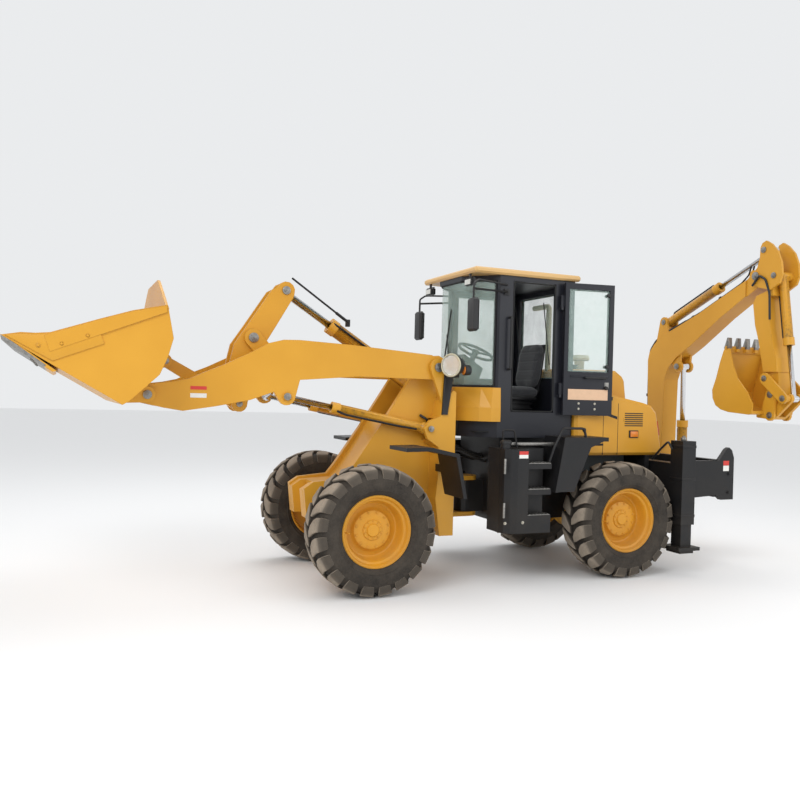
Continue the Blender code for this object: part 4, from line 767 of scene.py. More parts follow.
# head lamps: reflector bowl, clear lens and bezel, turned a little outwards
lampPlace = {"back": -0.88, "side": 0.64, "height": 1.5125, "turn": 30.0, "bowl": 0.097}
for name, side in sideNames:
    centre = atFront(lampPlace["back"], side * lampPlace["side"], lampPlace["height"])
    ahead = Matrix.Rotation(radians(side * lampPlace["turn"]), 3, "Z") @ Vector((1, 0, 0))
    smoothCopy("headlamp_" + name, blackPlastic)
    bowl = lampPlace["bowl"]
    bm = bmesh.new()
    turnProfile(bm, [(0.0, 0.0195), (0.02, 0.0195), (0.06, 0.022), (bowl - 0.006, 0.027), (bowl, 0.0335),
        (bowl - 0.001, 0.0225), (0.0, 0.0185)],
                centre, ahead, 40)
    finishPiece(bm, "lampBowl_" + name, reflector, "front_body")
    bm = bmesh.new()
    turnProfile(bm, [(0.0, 0.050), (0.03, 0.0488), (0.07, 0.042), (bowl - 0.0015, 0.0335), (bowl - 0.0015,
        0.0315), (0.07, 0.039), (0.03, 0.046), (0.0, 0.0472)],
                centre, ahead, 40)
    finishPiece(bm, "lampLens_" + name, lampGlass, "front_body")
    bm = bmesh.new()
    addRing(bm, centre + ahead * 0.0355, ahead, 0.106, 0.008, 44, 8)
    finishPiece(bm, "lampBezel_" + name, beigePlastic, "front_body")
    bm = bmesh.new()
    turnProfile(bm, [(0.0, 0.012), (0.035, 0.010), (0.046, 0.001), (0.046, -0.004), (0.0, -0.004)],
                atFront(-0.993, side * lampPlace["side"], 1.4725), (1, 0, 0), 28)
    finishPiece(bm, "markerLens_" + name, amberLens, "front_body")

# blank labels on the arm sides and the front column
for name, side in sideNames:
    face = frontAxle.y + side * 0.4430
    for part, low, high, tint in (("Red", 1.155, 1.215, plateRed), ("White", 1.085, 1.153, plateWhite)):
        label(f"armLabel{part}_{name}", (frontAxle.x + 1.42, face - 0.0004, frontAxle.z + low + 0.06),
              (frontAxle.x + 1.56, face + side * 0.0016, frontAxle.z + high + 0.03), tint, "loader_arms")
    face = frontAxle.y + side * 0.4955
    for part, low, high, tint in (("Red", 0.60, 0.66, plateRed), ("White", 0.53, 0.598, plateWhite)):
        label(f"columnLabel{part}_{name}", (frontAxle.x - 0.94, face - 0.0004, frontAxle.z + low),
              (frontAxle.x - 0.86, face + side * 0.0016, frontAxle.z + high), tint, "front_body")
print("loader trim built")


# cab glass with its rubber seals
cab = {"nose": 1.59, "back": 0.42, "half": 0.56, "head": 2.3425, "glassLow": 1.3235, "glassHigh": 2.392}


def framed(name, corners, push, material=cabGlass, seal=0.011, sunk=0.012, body="chassis"):
    # corners run round the opening on the wall's outer face; push is the way out
    push = Vector(push).normalized()
    corners = [Vector(c) for c in corners]
    centre = sum(corners, Vector()) / len(corners)
    bm = bmesh.new()
    face = bm.faces.new([bm.verts.new(c - push * sunk + (centre - c).normalized() * -0.004) for c in corners])
    made = bmesh.ops.extrude_face_region(bm, geom=[face])["geom"]
    bmesh.ops.translate(bm, vec=-push * 0.005, verts=[g for g in made if isinstance(g, bmesh.types.BMVert)])
    finishPiece(bm, name + "Pane", material, body)
    loop = [c + (centre - c).normalized() * 0.004 - push * 0.002 for c in corners]
    middle = (loop[0] + loop[-1]) / 2
    addTubes(name + "Seal", [[middle, *loop, middle]], seal, sealRubber, body, 0.05, 2)


def wrapPath(sunk=0.0, corner=0.10):
    # plan of the windscreen: from one corner post round the nose to the other, bends rounded
    nose, side, post = cab["nose"] - sunk, 0.25, 1.338
    far = cab["half"] - sunk - 0.028
    corners = [Vector((post, far, 0)), Vector((nose, side, 0)), Vector((nose, -side, 0)),
        Vector((post, -far, 0))]
    plan = [corners[0]]
    for before, here, after in zip(corners, corners[1:], corners[2:]):
        a = here + (before - here).normalized() * corner
        b = here + (after - here).normalized() * corner
        for k in range(9):
            t = k / 8
            plan.append(a * (1 - t) ** 2 + here * (2 * t * (1 - t)) + b * t ** 2)
    plan.append(corners[-1])
    return plan


def wrapGlass():
    low, high, thick = cab["glassLow"], cab["glassHigh"], 0.006
    bm = bmesh.new()
    outer = [bm.verts.new(atRear(p.x, p.y, low)) for p in wrapPath(0.012)]
    inner = [bm.verts.new(atRear(p.x, p.y, low)) for p in wrapPath(0.012 + thick)]
    for k in range(len(outer) - 1):
        bm.faces.new((outer[k], outer[k + 1], inner[k + 1], inner[k]))
    made = bmesh.ops.extrude_face_region(bm, geom=list(bm.faces))["geom"]
    bmesh.ops.translate(bm, vec=(0, 0, high - low), verts=[g for g in made if isinstance(g,
        bmesh.types.BMVert)])
    finishPiece(bm, "windscreenPane", cabGlass, "chassis", 60.0)
    loops = []
    for z in (low + 0.004, high - 0.004):
        loops.append([atRear(p.x, p.y, z) for p in wrapPath(0.010)])
    for side in (0, -1):
        edge = wrapPath(0.010)[side]
        loops.append([atRear(edge.x, edge.y, low), atRear(edge.x, edge.y, high)])
    addTubes("windscreenSeal", loops, 0.010, sealRubber, "chassis", 0.02, 2)


def makeGlass():
    head, half = cab["head"], cab["half"]
    wrapGlass()
    framed("rearWindow", [atRear(cab["back"], y, z) for y, z in ((-0.44, 1.4325), (0.44, 1.4325),
        (0.44, head), (-0.44, head))], (-1, 0, 0))
    framed("rightWindow", [atRear(x, -half, z) for x, z in ((0.52, 1.4125), (1.22, 1.4125), (1.22, head),
        (0.52, head))], (0, -1, 0))
    # the door is swung right back on its hinge
    hinge = atRear(0.60, 0.596, 0)
    swing = Matrix.Rotation(radians(170.0), 3, "Z")

    def onDoor(x, y, z):
        return hinge + swing @ Vector((x - 0.60, y - 0.596, 0)) + Vector((0, 0, z))

    framed("door", [onDoor(x, 0.602, z) for x, z in ((0.67, 1.5025), (1.125, 1.5025), (1.125, 2.3525),
        (0.67, 2.3525))],
           swing @ Vector((0, 1, 0)), body="door", sunk=0.016)

    def doorBox(low, high, bevel, segments=2):
        verts = addBox(bm, low, high, bevel, segments)
        bmesh.ops.rotate(bm, cent=(0, 0, 0), matrix=swing, verts=verts)
        bmesh.ops.translate(bm, vec=hinge, verts=verts)

    bm = bmesh.new()
    doorBox((0.078, -0.0315, 1.2125), (0.525, -0.0285, 1.3225), 0.001, 1)
    finishPiece(bm, "doorPlate", platePeach, "door")
    bm = bmesh.new()
    for x in (0.80, 0.98):
        for z in (1.175, 1.12):
            addBolt(bm, onDoor(x, 0.566, z), swing @ Vector((0, -1, 0)), 0.007)
    finishPiece(bm, "doorBolts", zincSteel, "door")
    bm = bmesh.new()
    for face, out in ((0.566, -1), (0.602, 1)):
        doorBox((0.10, face - 0.596, 1.443), (0.52, face + out * 0.006 - 0.596, 1.467), 0.003)
    finishPiece(bm, "doorRibs", cabPaint, "door")
    bm = bmesh.new()
    for z in (2.30, 1.56, 1.34):
        addRod(bm, onDoor(1.10, 0.564, z), onDoor(1.10, 0.535, z), 0.022, 20, tip=0.017, bevel=0.004)
        addRod(bm, onDoor(1.10, 0.601, z), onDoor(1.10, 0.612, z), 0.016, 16, bevel=0.002)
    finishPiece(bm, "doorKnobs", blackPlastic, "door")
    addTubes("doorHandle", [[onDoor(1.08, 0.566, 1.44), onDoor(1.08, 0.525, 1.44), onDoor(0.86, 0.525, 1.44),
        onDoor(0.86, 0.566, 1.44)]],
             0.010, blackPlastic, "door", 0.03)
    bm = bmesh.new()
    doorBox((0.485, -0.032, 1.335), (0.535, 0.007, 1.40), 0.005)
    finishPiece(bm, "doorLatch", bareSteel, "door")


makeGlass()

# rubber strip round the doorway, on the shell's outer face
makeTubesAtRear("doorwaySeal", [[(0.905, 0.5585, 1.0825), (1.15, 0.5585, 1.0825), (1.15, 0.5585, 2.3825),
    (0.66, 0.5585, 2.3825),
                (0.66, 0.5585, 1.0825), (0.905, 0.5585, 1.0825)]], 0.0068, sealRubber, "chassis", 0.06)
makeTubesAtRear("grabHandles", [[(1.20, 0.556, 1.50), (1.20, 0.610, 1.50), (1.20, 0.610, 2.02), (1.20, 0.556,
    2.02)],
                [(0.50, 0.556, 1.52), (0.50, 0.590, 1.52), (0.50, 0.590, 1.86), (0.50, 0.556, 1.86)]],
                0.012, blackPlastic, "chassis", 0.05)


def workLamps():
    places = {"front": ((1.60, 0.46, 2.355, 1), (1.60, -0.46, 2.355, 1)), "rear": ((0.375, 0.40, 2.375, -1),
        (0.375, -0.40, 2.375, -1))}
    for end, spots in places.items():
        for k, (x, y, z, out) in enumerate(spots):
            bm = bmesh.new()
            centre = atRear(x, y, z)
            depth = 0.030 if end == "front" else 0.022
            addBox(bm, centre + Vector((-depth, -0.068, -0.034)), centre + Vector((depth, 0.068, 0.034)),
                0.008)
            addBox(bm, centre + Vector((-0.010, -0.012, 0.030)), centre + Vector((0.010, 0.012,
                atRear(0, 0, 2.4415).z - centre.z)), 0.002)
            for tail in (-1, 1):
                addBox(bm, centre + Vector((-0.010, tail * 0.078 - 0.004, -0.020)),
                    centre + Vector((0.010, tail * 0.078 + 0.004, 0.045)), 0.002)
            addBox(bm, centre + Vector((-0.010, -0.082, 0.040)), centre + Vector((0.010, 0.082, 0.046)),
                0.002)
            finishPiece(bm, f"workLamp_{end}{k}", blackPlastic)
            bm = bmesh.new()
            face = centre.x + out * (depth - 0.0005)
            addBox(bm, (min(face, face + out * 0.004), centre.y - 0.058, centre.z - 0.025),
                (max(face, face + out * 0.004), centre.y + 0.058, centre.z + 0.025), 0.0012)
            finishPiece(bm, f"workLens_{end}{k}", reflector)


workLamps()


def mirrorGlass():
    for name, side in sideNames:
        y = rearAxle.y + (0.76 if side > 0 else -0.74)
        x = rearAxle.x + (1.72 if side > 0 else 1.60)
        bm = bmesh.new()
        addBox(bm, (x - 0.0335, y - 0.068, rearAxle.z + 1.862), (x - 0.0295, y + 0.068, rearAxle.z + 2.142),
            0.0015)
        finishPiece(bm, "mirrorFace_" + name, mirrorFace)
        smoothCopy("mirror_" + name, blackPlastic)
        foot = atRear(1.235, side * 0.565, 2.345)
        over = Vector((x - 0.06, y - side * 0.02, rearAxle.z + 2.345))
        addTubes("mirrorStay_" + name, [[foot, over, Vector((x, y, rearAxle.z + 2.30)),
            Vector((x, y, rearAxle.z + 2.20))]],
                 0.010, blackPlastic, "chassis", 0.09)


mirrorGlass()

# wiper on the windscreen
makeTubesAtRear("wiperArm", [[(1.605, 0.10, 1.34), (1.612, 0.09, 1.42), (1.606, -0.02, 1.86)]], 0.006,
    blackPlastic, "chassis", 0.03)
makeTubesAtRear("wiperBlade", [[(1.601, -0.075, 1.60), (1.603, 0.0, 1.87), (1.601, 0.06, 2.12)]], 0.008,
    sealRubber, "chassis", 0.05)
print("cab trim built")


# seat: two stuffed cushions on a moulded base with a ribbed bellows
def paddedForm(name, low, high, crown=0.02):
    # a crowned closed form whose sides pull in between its corners
    low, high = Vector(low), Vector(high)
    size = high - low
    bm = bmesh.new()
    bmesh.ops.create_cube(bm, size=2.0)
    bmesh.ops.subdivide_edges(bm, edges=list(bm.edges), cuts=11, use_grid_fill=True)
    for v in bm.verts:
        x, y, z = v.co
        # round the box towards a soft pillow
        bulge = (1 - x * x) * (1 - y * y)
        edge = max(abs(x), abs(y))
        z2 = z * (1 - 0.42 * edge ** 6) + (crown * 2 / size.z) * bulge * (1 if z > 0 else 0.35) * abs(z)
        pinch = 1 - 0.05 * (1 - y * y) * (abs(x) ** 8), 1 - 0.05 * (1 - x * x) * (abs(y) ** 8)
        corner = 1 - 0.07 * (abs(x) * abs(y)) ** 4
        v.co = (x * pinch[0] * corner * size.x / 2 * 0.97, y * pinch[1] * corner * size.y / 2 * 0.97,
            z2 * size.z / 2 * 0.9)
    bmesh.ops.translate(bm, vec=(low + high) / 2, verts=bm.verts)
    return finishPiece(bm, name, seatCloth, "chassis", 80.0)


def inflate(piece, cap, pressure=4.0, voxel=0.0096):
    # stuffed cloth swells under pressure, no point further than the cap
    remesh = piece.modifiers.new("evenMesh", "REMESH")
    remesh.mode = "VOXEL"
    remesh.voxel_size = voxel
    bpy.context.view_layer.objects.active = piece
    for other in bpy.context.selected_objects:
        other.select_set(False)
    piece.select_set(True)
    bpy.ops.object.modifier_apply(modifier=remesh.name)
    start = [v.co.copy() for v in piece.data.vertices]
    cloth = piece.modifiers.new("stuffing", "CLOTH")
    cloth.settings.use_pressure = True
    cloth.settings.uniform_pressure_force = pressure
    cloth.settings.effector_weights.gravity = 0.0
    cloth.settings.quality = 5
    for step in range(1, 21):
        bpy.context.scene.frame_set(step)
    shape = piece.evaluated_get(bpy.context.evaluated_depsgraph_get()).data
    moved = [v.co.copy() for v in shape.vertices]
    piece.modifiers.remove(cloth)
    bpy.context.scene.frame_set(1)
    for vertex, old, new in zip(piece.data.vertices, start, moved):
        step = new - old
        if step.length > cap:
            step = step.normalized() * cap
        vertex.co = old + step
    smooth = piece.modifiers.new("soften", "SMOOTH")
    smooth.factor, smooth.iterations = 0.5, 4
    bpy.ops.object.modifier_apply(modifier=smooth.name)
    piece.data.shade_smooth()


def makeSeat():
    base = paddedForm("seatCushion", atRear(0.585, -0.235, 1.222), atRear(1.015, 0.235, 1.332), crown=0.008)
    back = paddedForm("seatBack", atRear(0.555, -0.225, 1.29), atRear(0.635, 0.225, 1.84), crown=0.0)
    for vertex in back.data.vertices:
        rise = (vertex.co.z - rearAxle.z - 1.2725) / 0.58
        vertex.co.x += (0.5 - rise) * 0.088
    inflate(base, 0.010)
    inflate(back, 0.010)
    # sewn channels run across the back and fore and aft on the cushion
    for vertex in back.data.vertices:
        rise = vertex.co.z - rearAxle.z
        for seam in (1.42, 1.52, 1.62, 1.72):
            gap = abs(rise - seam)
            if gap < 0.012 and abs(vertex.co.y - rearAxle.y) < 0.19:
                vertex.co += vertex.normal * -0.007 * (1 - gap / 0.012)
    for vertex in base.data.vertices:
        across = abs(abs(vertex.co.y - rearAxle.y) - 0.14)
        if across < 0.012 and vertex.co.z > rearAxle.z + 1.30:
            vertex.co.z -= 0.006 * (1 - across / 0.012)
    for piece, fill in ((base, 0.7), (back, 0.7)):
        soft = piece.modifiers.new("fine", "SUBSURF")
        soft.levels = soft.render_levels = 1
    bm = bmesh.new()
    rearBox(bm, (0.62, -0.20, 1.195), (0.98, 0.20, 1.228), 0.010)
    rearBox(bm, (0.66, -0.15, 0.9), (0.94, 0.15, 1.20), 0.012)
    rearBox(bm, (0.60, -0.19, 0.864), (1.0, 0.19, 0.90), 0.008)
    for k in range(5):
        rearBox(bm, (0.645, -0.165, 0.93 + 0.055 * k), (0.955, 0.165, 0.945 + 0.055 * k), 0.004)
    finishPiece(bm, "seatBase", blackPlastic)
    bm = bmesh.new()
    spine = [(0.575, 1.28), (0.60, 1.28), (0.528, 1.80), (0.503, 1.80)]
    addPlate(bm, spine, "y", -0.18, 0.18, 0.006)
    bmesh.ops.translate(bm, vec=rearAxle, verts=bm.verts)
    finishPiece(bm, "seatShell", blackPlastic)
    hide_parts("seat")


makeSeat()


def makeControls():
    smoothCopy("steering_wheel", blackPlastic)
    centre = atRear(1.27, 0, 1.6925)
    tilt = Vector((-0.42, 0, 0.91)).normalized()
    bm = bmesh.new()
    turnProfile(bm, [(0.0, 0.022), (0.035, 0.020), (0.045, 0.010), (0.045, -0.004), (0.0, -0.006)], centre,
        tilt, 28)
    finishPiece(bm, "wheelCap", blackPlastic, "hand_wheel")
    bm = bmesh.new()
    outward = Vector((-0.14, 0, 0.22)).normalized()
    for k, (dx, y, r) in enumerate(((1.35, -0.10, 0.045), (1.35, 0.0, 0.045), (1.35, 0.10, 0.045),
        (1.43, -0.05, 0.032), (1.43, 0.05, 0.032))):
        rise = 1.5125 + (dx - 1.28) * 0.14 / 0.22
        turnProfile(bm, [(0.0, 0.004), (r * 0.85, 0.004), (r * 0.9, 0.010), (r, 0.010), (r, -0.004)],
            atRear(dx, y, rise), outward, 28)
    finishPiece(bm, "gaugeRims", bareSteel)
    paths, knobs = [], bmesh.new()
    for k, y in enumerate((-0.30, -0.35, -0.40)):
        paths.append([atRear(1.18 + 0.03 * k, y, 0.865), atRear(1.16 + 0.03 * k, y, 1.20),
            atRear(1.10 + 0.03 * k, y, 1.46)])
        turnProfile(knobs, [(0.0, 0.03), (0.015, 0.026), (0.021, 0.010), (0.017, -0.012), (0.009, -0.022),
            (0.0, -0.022)],
                    atRear(1.10 + 0.03 * k, y, 1.47), (0, 0, 1), 20)
    addTubes("levers", paths, 0.007, bareSteel, "chassis", 0.08)
    finishPiece(knobs, "leverKnobs", blackPlastic)
    bm = bmesh.new()
    rearBox(bm, (1.06, -0.47, 0.864), (1.32, -0.24, 1.02), 0.012)
    rearBox(bm, (0.48, -0.47, 0.864), (0.90, -0.30, 1.22), 0.015)
    finishPiece(bm, "sideConsole", blackPlastic)
    bm = bmesh.new()
    rearBox(bm, (0.48, -0.50, 0.8635), (1.50, 0.50, 0.872), 0.003)
    for k in range(12):
        rearBox(bm, (0.66 + 0.045 * k, -0.22, 0.8715), (0.68 + 0.045 * k, 0.42, 0.8755), 0.001, 1)
    finishPiece(bm, "floorMat", sealRubber)
    for k, y in enumerate((0.10, -0.12)):
        bm = bmesh.new()
        rearBox(bm, (1.20, y - 0.035, 0.93), (1.27, y + 0.035, 0.942), 0.003,
               turn=Matrix.Rotation(radians(-38), 3, "Y"))
        rearRod(bm, (1.29, y, 0.872), (1.25, y, 0.95), 0.007, 10)
        finishPiece(bm, f"pedal{k}", bareSteel)


makeControls()
print("cab inside built")


# rear body: hood details, lights, steps and tank fittings
def hoodTrim():
    for name, side in sideNames:
        y = side * 0.6205
        bm = bmesh.new()
        stripe = [(0.36, 1.155), (0.36, 1.185), (-0.12, 1.045), (-0.12, 1.015)]
        verts = addPlate(bm, stripe, "y", y - side * 0.0015, y + side * 0.0015)
        bmesh.ops.translate(bm, vec=rearAxle, verts=verts)
        finishPiece(bm, "hoodStripe_" + name, blackPaint)
        bm = bmesh.new()
        rearBox(bm, (0.05, y - side * 0.012, 0.735), (0.40, y + side * 0.001, 0.760), 0.003)
        for k in range(2):
            rearBox(bm, (-0.20, y - 0.001, 1.02 - 0.03 * k), (-0.201, y + 0.001, 1.03), 0.0)
        for x in (-0.135, 0.055):
            rearBox(bm, (x, y - side * 0.006, 0.64), (x + 0.006, y + side * 0.0008, 1.20 + x * 0.1), 0.001, 1)
        finishPiece(bm, "hoodSeams_" + name, sealRubber)
        bm = bmesh.new()
        rearBox(bm, (-0.40, y - side * 0.02, 0.82), (-0.28, y + side * 0.012, 0.90), 0.006)
        finishPiece(bm, "sideLampBox_" + name, blackPlastic)
        bm = bmesh.new()
        rearBox(bm, (-0.39, y + side * 0.011, 0.83), (-0.29, y + side * 0.018, 0.89), 0.003)
        finishPiece(bm, "sideLampLens_" + name, redLens if side < 0 else amberLens)
        bm = bmesh.new()
        for row in range(7):
            rearBox(bm, (-0.46, y - side * 0.008, 0.945 + row * 0.022), (-0.22, y + side * 0.005,
                0.955 + row * 0.022), 0.003)
        finishPiece(bm, "hoodVents_" + name, blackPlastic)
        bm = bmesh.new()
        for x in (-0.02, 0.34):
            rearBox(bm, (x - 0.03, y - 0.002, 1.215), (x + 0.03, y + side * 0.008, 1.245), 0.003)
            rearRod(bm, (x - 0.03, y + side * 0.006, 1.245), (x + 0.03, y + side * 0.006, 1.245), 0.006, 12)
        finishPiece(bm, "hoodHinges_" + name, blackPaint)
        bm = bmesh.new()
        rearRod(bm, (0.30, y - side * 0.004, 0.90), (0.30, y + side * 0.006, 0.90), 0.022, 24, bevel=0.002)
        rearBox(bm, (0.287, y + side * 0.004, 0.893), (0.313, y + side * 0.014, 0.907), 0.003)
        finishPiece(bm, "hoodCatch_" + name, blackPlastic)
    # grille slats at the back and tail lamps beside them
    bm = bmesh.new()
    for row in range(11):
        z = 0.69 + row * 0.030
        lean = (z - 0.6325) * 0.09 / 0.46
        rearBox(bm, (-0.715 + lean, -0.40, z), (-0.690 + lean, 0.40, z + 0.012), 0.003,
               turn=Matrix.Rotation(radians(20), 3, "Y"))
    for y in (-0.2, 0.0, 0.2):
        verts = addPlate(bm, [(-0.715, 0.68), (-0.705, 0.68), (-0.640, 1.005), (-0.650, 1.005)], "y",
            y - 0.006, y + 0.006)
        bmesh.ops.translate(bm, vec=rearAxle, verts=verts)
    finishPiece(bm, "rearGrille", blackPaint)
    for name, side in sideNames:
        bm = bmesh.new()
        rearBox(bm, (-0.735, side * 0.51 - 0.05, 0.84), (-0.700, side * 0.51 + 0.05, 1.00), 0.006,
               turn=Matrix.Rotation(radians(11), 3, "Y"))
        finishPiece(bm, "tailLamp_" + name, redLens)


hoodTrim()


def makeIntake():
    smoothCopy("air_intake", beigePlastic)
    base = atRear(-0.06, 0, 0)
    bm = bmesh.new()
    addRing(bm, base + Vector((0, 0, 1.6560)), (0, 0, 1), 0.101, 0.004, 36, 6)
    addRing(bm, base + Vector((0, 0, 1.5485)), (0, 0, 1), 0.057, 0.006, 32, 6)
    finishPiece(bm, "intakeBands", blackPlastic)
    bm = bmesh.new()
    turnProfile(bm, [(0.0, 0.0), (0.040, 0.0), (0.040, 0.030), (0.052, 0.034), (0.052, 0.050), (0.0, 0.058)],
        atRear(0.18, 0.22, 1.5425), (0, 0, 1), 28)
    finishPiece(bm, "coolantCap", blackPlastic)
    addTubes("exhaustPipe", [[atRear(0.36, 0.0, 1.40), atRear(0.36, 0.0, 2.24), atRear(0.36, -0.30, 2.24)]],
        0.030, beigePlastic, "chassis", 0.08)
    struts = [[atRear(0.50, -0.48, 2.26), atRear(0.50, -0.34, 1.62)], [atRear(0.50, 0.10, 2.26),
        atRear(0.50, 0.24, 1.58)]]
    addTubes("windowStruts", struts, 0.006, blackPlastic, "chassis", 0.02, 1)


makeIntake()


def sideBoxTrim():
    # step treads, tube, caps, grab rail, blank plates and hinges of the two side boxes
    bm = bmesh.new()
    for z in (0.0825, 0.3325, 0.5825):
        rearBox(bm, (0.915, 0.815, z + 0.0005), (1.165, 0.945, z + 0.008), 0.002)
        for k in range(6):
            rearBox(bm, (0.93 + 0.040 * k, 0.820, z + 0.008), (0.945 + 0.040 * k, 0.940, z + 0.014), 0.002, 1)
    finishPiece(bm, "stepTreads", bareSteel)
    bm = bmesh.new()
    rearRod(bm, (1.32, 0.80, 0.765), (0.76, 0.80, 0.765), 0.019, 20, bevel=0.003)
    finishPiece(bm, "boxTube", bareSteel)
    bm = bmesh.new()
    turnProfile(bm, [(0.0, 0.085), (0.040, 0.083), (0.056, 0.072), (0.058, 0.050), (0.050, 0.046),
        (0.048, 0.0), (0.0, -0.002)], atRear(1.36, 0.83, 0.7235), (0, 0, 1), 32)
    finishPiece(bm, "oilCap", blackPlastic)
    makeTubesAtRear("oilCapHandle", [[(1.37, 0.80, 0.73), (1.38, 0.80, 0.90), (1.27, 0.83, 0.90),
        (1.24, 0.84, 0.73)]], 0.009, blackPaint, "chassis", 0.05)
    bm = bmesh.new()
    turnProfile(bm, [(0.0, 0.030), (0.032, 0.030), (0.038, 0.024), (0.038, 0.004), (0.050, 0.0),
        (0.0, -0.002)], atRear(1.24, -0.78, 0.7235), (0, 0, 1), 32)
    finishPiece(bm, "fuelCap", blackPlastic)
    bm = bmesh.new()
    for side in (1, -1):
        if side < 0:
            # straps over the right tank
            for x in (0.95, 1.24):
                rearBox(bm, (x, -0.585, 0.655), (x + 0.06, -0.80, 0.7245), 0.004)
        for x in (1.225, 1.42):
            addBolt(bm, atRear(x, side * 0.9505, 0.02), (0, side, 0), 0.009)
    finishPiece(bm, "tankBolts", zincSteel)
    makeTubesAtRear("grabRail", [[(0.93, 0.935, 0.60), (0.90, 0.965, 0.74), (0.80, 0.97, 0.93),
        (0.56, 0.97, 0.93), (0.53, 0.965, 0.86), (0.53, 0.95, 0.755)]],
                    0.013, blackPaint, "chassis", 0.07)
    label("tankLabelRed", atRear(1.18, 0.9500, 0.672), atRear(1.28, 0.9518, 0.705), plateRed)
    label("tankLabelWhite", atRear(1.18, 0.9500, 0.637), atRear(1.28, 0.9518, 0.671), plateWhite)
    label("rightTankLabel", atRear(1.02, -0.9518, 0.46), atRear(1.16, -0.9500, 0.54), plateWhite)
    bm = bmesh.new()
    for name, side in sideNames:
        for z in (0.07, 0.49):
            rearBox(bm, (1.425, side * 0.951 - 0.005, z), (1.447, side * 0.951 + 0.005, z + 0.145), 0.003)
    finishPiece(bm, "boxHinges", bareSteel)


sideBoxTrim()


def stabilizerTrim():
    label("railLabelRed", atRear(-1.30, 1.0200, 0.55), atRear(-1.22, 1.0216, 0.60), plateRed)
    label("railLabelWhite", atRear(-1.30, 1.0200, 0.49), atRear(-1.22, 1.0216, 0.548), plateWhite)
    bm = bmesh.new()
    for name, side in sideNames:
        for z in (0.02, 0.40, 0.74):
            rearBox(bm, (-0.784, side * 0.99 - 0.094, z), (-0.601, side * 0.99 + 0.094, z + 0.030), 0.003)
        for z in (0.26, 0.46):
            addBolt(bm, atRear(-1.30, side * 1.0205, z), (0, side, 0), 0.013)
    finishPiece(bm, "legBands", blackPaint)
    legRod = bmesh.new()
    for name, side in sideNames:
        rearRod(legRod, (-0.6925, side * 0.99, 0.813), (-0.6925, side * 0.99, 0.845), 0.030, 24, bevel=0.004)
        addBolt(legRod, atRear(-0.6925, side * 0.99, 0.845), (0, 0, 1), 0.016)
    finishPiece(legRod, "legCaps", bareSteel)
    for name, side in sideNames:
        makeTubesAtRear("legHose_" + name, [[(-0.60, side * 0.93, 0.72), (-0.57, side * 0.90, 0.80),
            (-0.59, side * 0.75, 0.70), (-0.62, side * 0.60, 0.59)]],
                        0.012, hoseRubber, "chassis", 0.07)


stabilizerTrim()
print("rear body trim built")


# backhoe: hoses and pipes along the boom, clamps, tooth caps, wear strips
def onHoe(offset, y, z):
    return Vector((hoeX + offset, rearAxle.y + y, rearAxle.z + z))


def hoeHoses():
    back = [(-0.675, 0.80), (-0.69, 1.40), (-0.69, 1.74), (-0.66, 1.88), (-0.57, 1.985), (-0.44, 2.065),
        (-0.22, 2.140)]
    for k, dx in enumerate((-0.072, -0.024, 0.024, 0.072)):
        addTubes(f"boomHose{k}", [[onHoe(dx, y, z) for y, z in [(-0.60, 0.52), *back, (-0.05, 2.20)]]], 0.013,
                 hoseRubber, "hoe_boom", 0.06)
    for k, dx in enumerate((-0.075, -0.03, 0.03, 0.075)):
        addTubes(f"boomPipe{k}", [[onHoe(dx, y, z) for y, z in ((-0.06, 2.195), (0.20, 2.290), (0.58, 2.460),
            (0.80, 2.560), (0.90, 2.640), (0.93, 2.74))]],
                 0.009, blackPaint, "hoe_boom", 0.05)
    for k, dx in enumerate((-0.10, 0.10)):
        side = 1 if dx > 0 else -1
        addTubes(f"slewHose{k}", [[onHoe(dx * 0.7, -0.62, 0.56), onHoe(dx, -0.66, 0.68), onHoe(dx * 0.9,
            -0.67, 0.82)]], 0.014,
                 hoseRubber, "hoe_boom", 0.08)
        addTubes(f"dipperHose{k}", [[onHoe(side * 0.150, 1.02, 2.50), onHoe(side * 0.160, 1.12, 2.60),
            onHoe(side * 0.155, 1.20, 2.55), onHoe(side * 0.135, 1.24, 2.40), onHoe(side * 0.122, 1.24,
            2.12)]],
                 0.012, hoseRubber, "hoe_dipper", 0.07)
    bm = bmesh.new()
    for y, z, turn in ((0.08, 2.240, 24), (0.50, 2.424, 24), (-0.688, 1.30, 88), (-0.683, 1.0, 88)):
        turnY = Matrix.Rotation(radians(turn), 3, "X")
        at = onHoe(0, y, z)
        addBox(bm, at + Vector((-0.095, -0.018, -0.014)), at + Vector((0.095, 0.018, 0.014)), 0.004,
            turn=turnY, about=at)
    finishPiece(bm, "hoseClamps", blackPaint, "hoe_boom")
    for name, base, eye, body in (("boom", (-0.13, 0.1325), (-0.15, 1.6525), "boom_cylinder"),
        ("dipper", (-0.42, 2.2125), (1.15, 2.8725), "dipper_cylinder"),
                                  ("dig", (1.29, 2.5825), (1.47, 1.2825), "dig_cylinder")):
        run = Vector((0, eye[0] - base[0], eye[1] - base[1])).normalized()
        lift = Vector((0, -run.z, run.y)) * (1 if name != "dig" else -1)
        start = onHoe(0, *base)
        top = {"boom": 0.80, "dipper": 0.85, "dig": 0.69}[name]
        reach = {"boom": 0.066, "dipper": 0.063, "dig": 0.056}[name]
        addTubes(name + "RamPipe", [[start + run * 0.10 + lift * (reach - 0.012),
            start + run * 0.13 + lift * (reach + 0.012),
                 start + run * (top - 0.04) + lift * (reach + 0.012),
                     start + run * top + lift * (reach - 0.008)]],
                 0.009, blackPaint, body, 0.03)


hoeHoses()


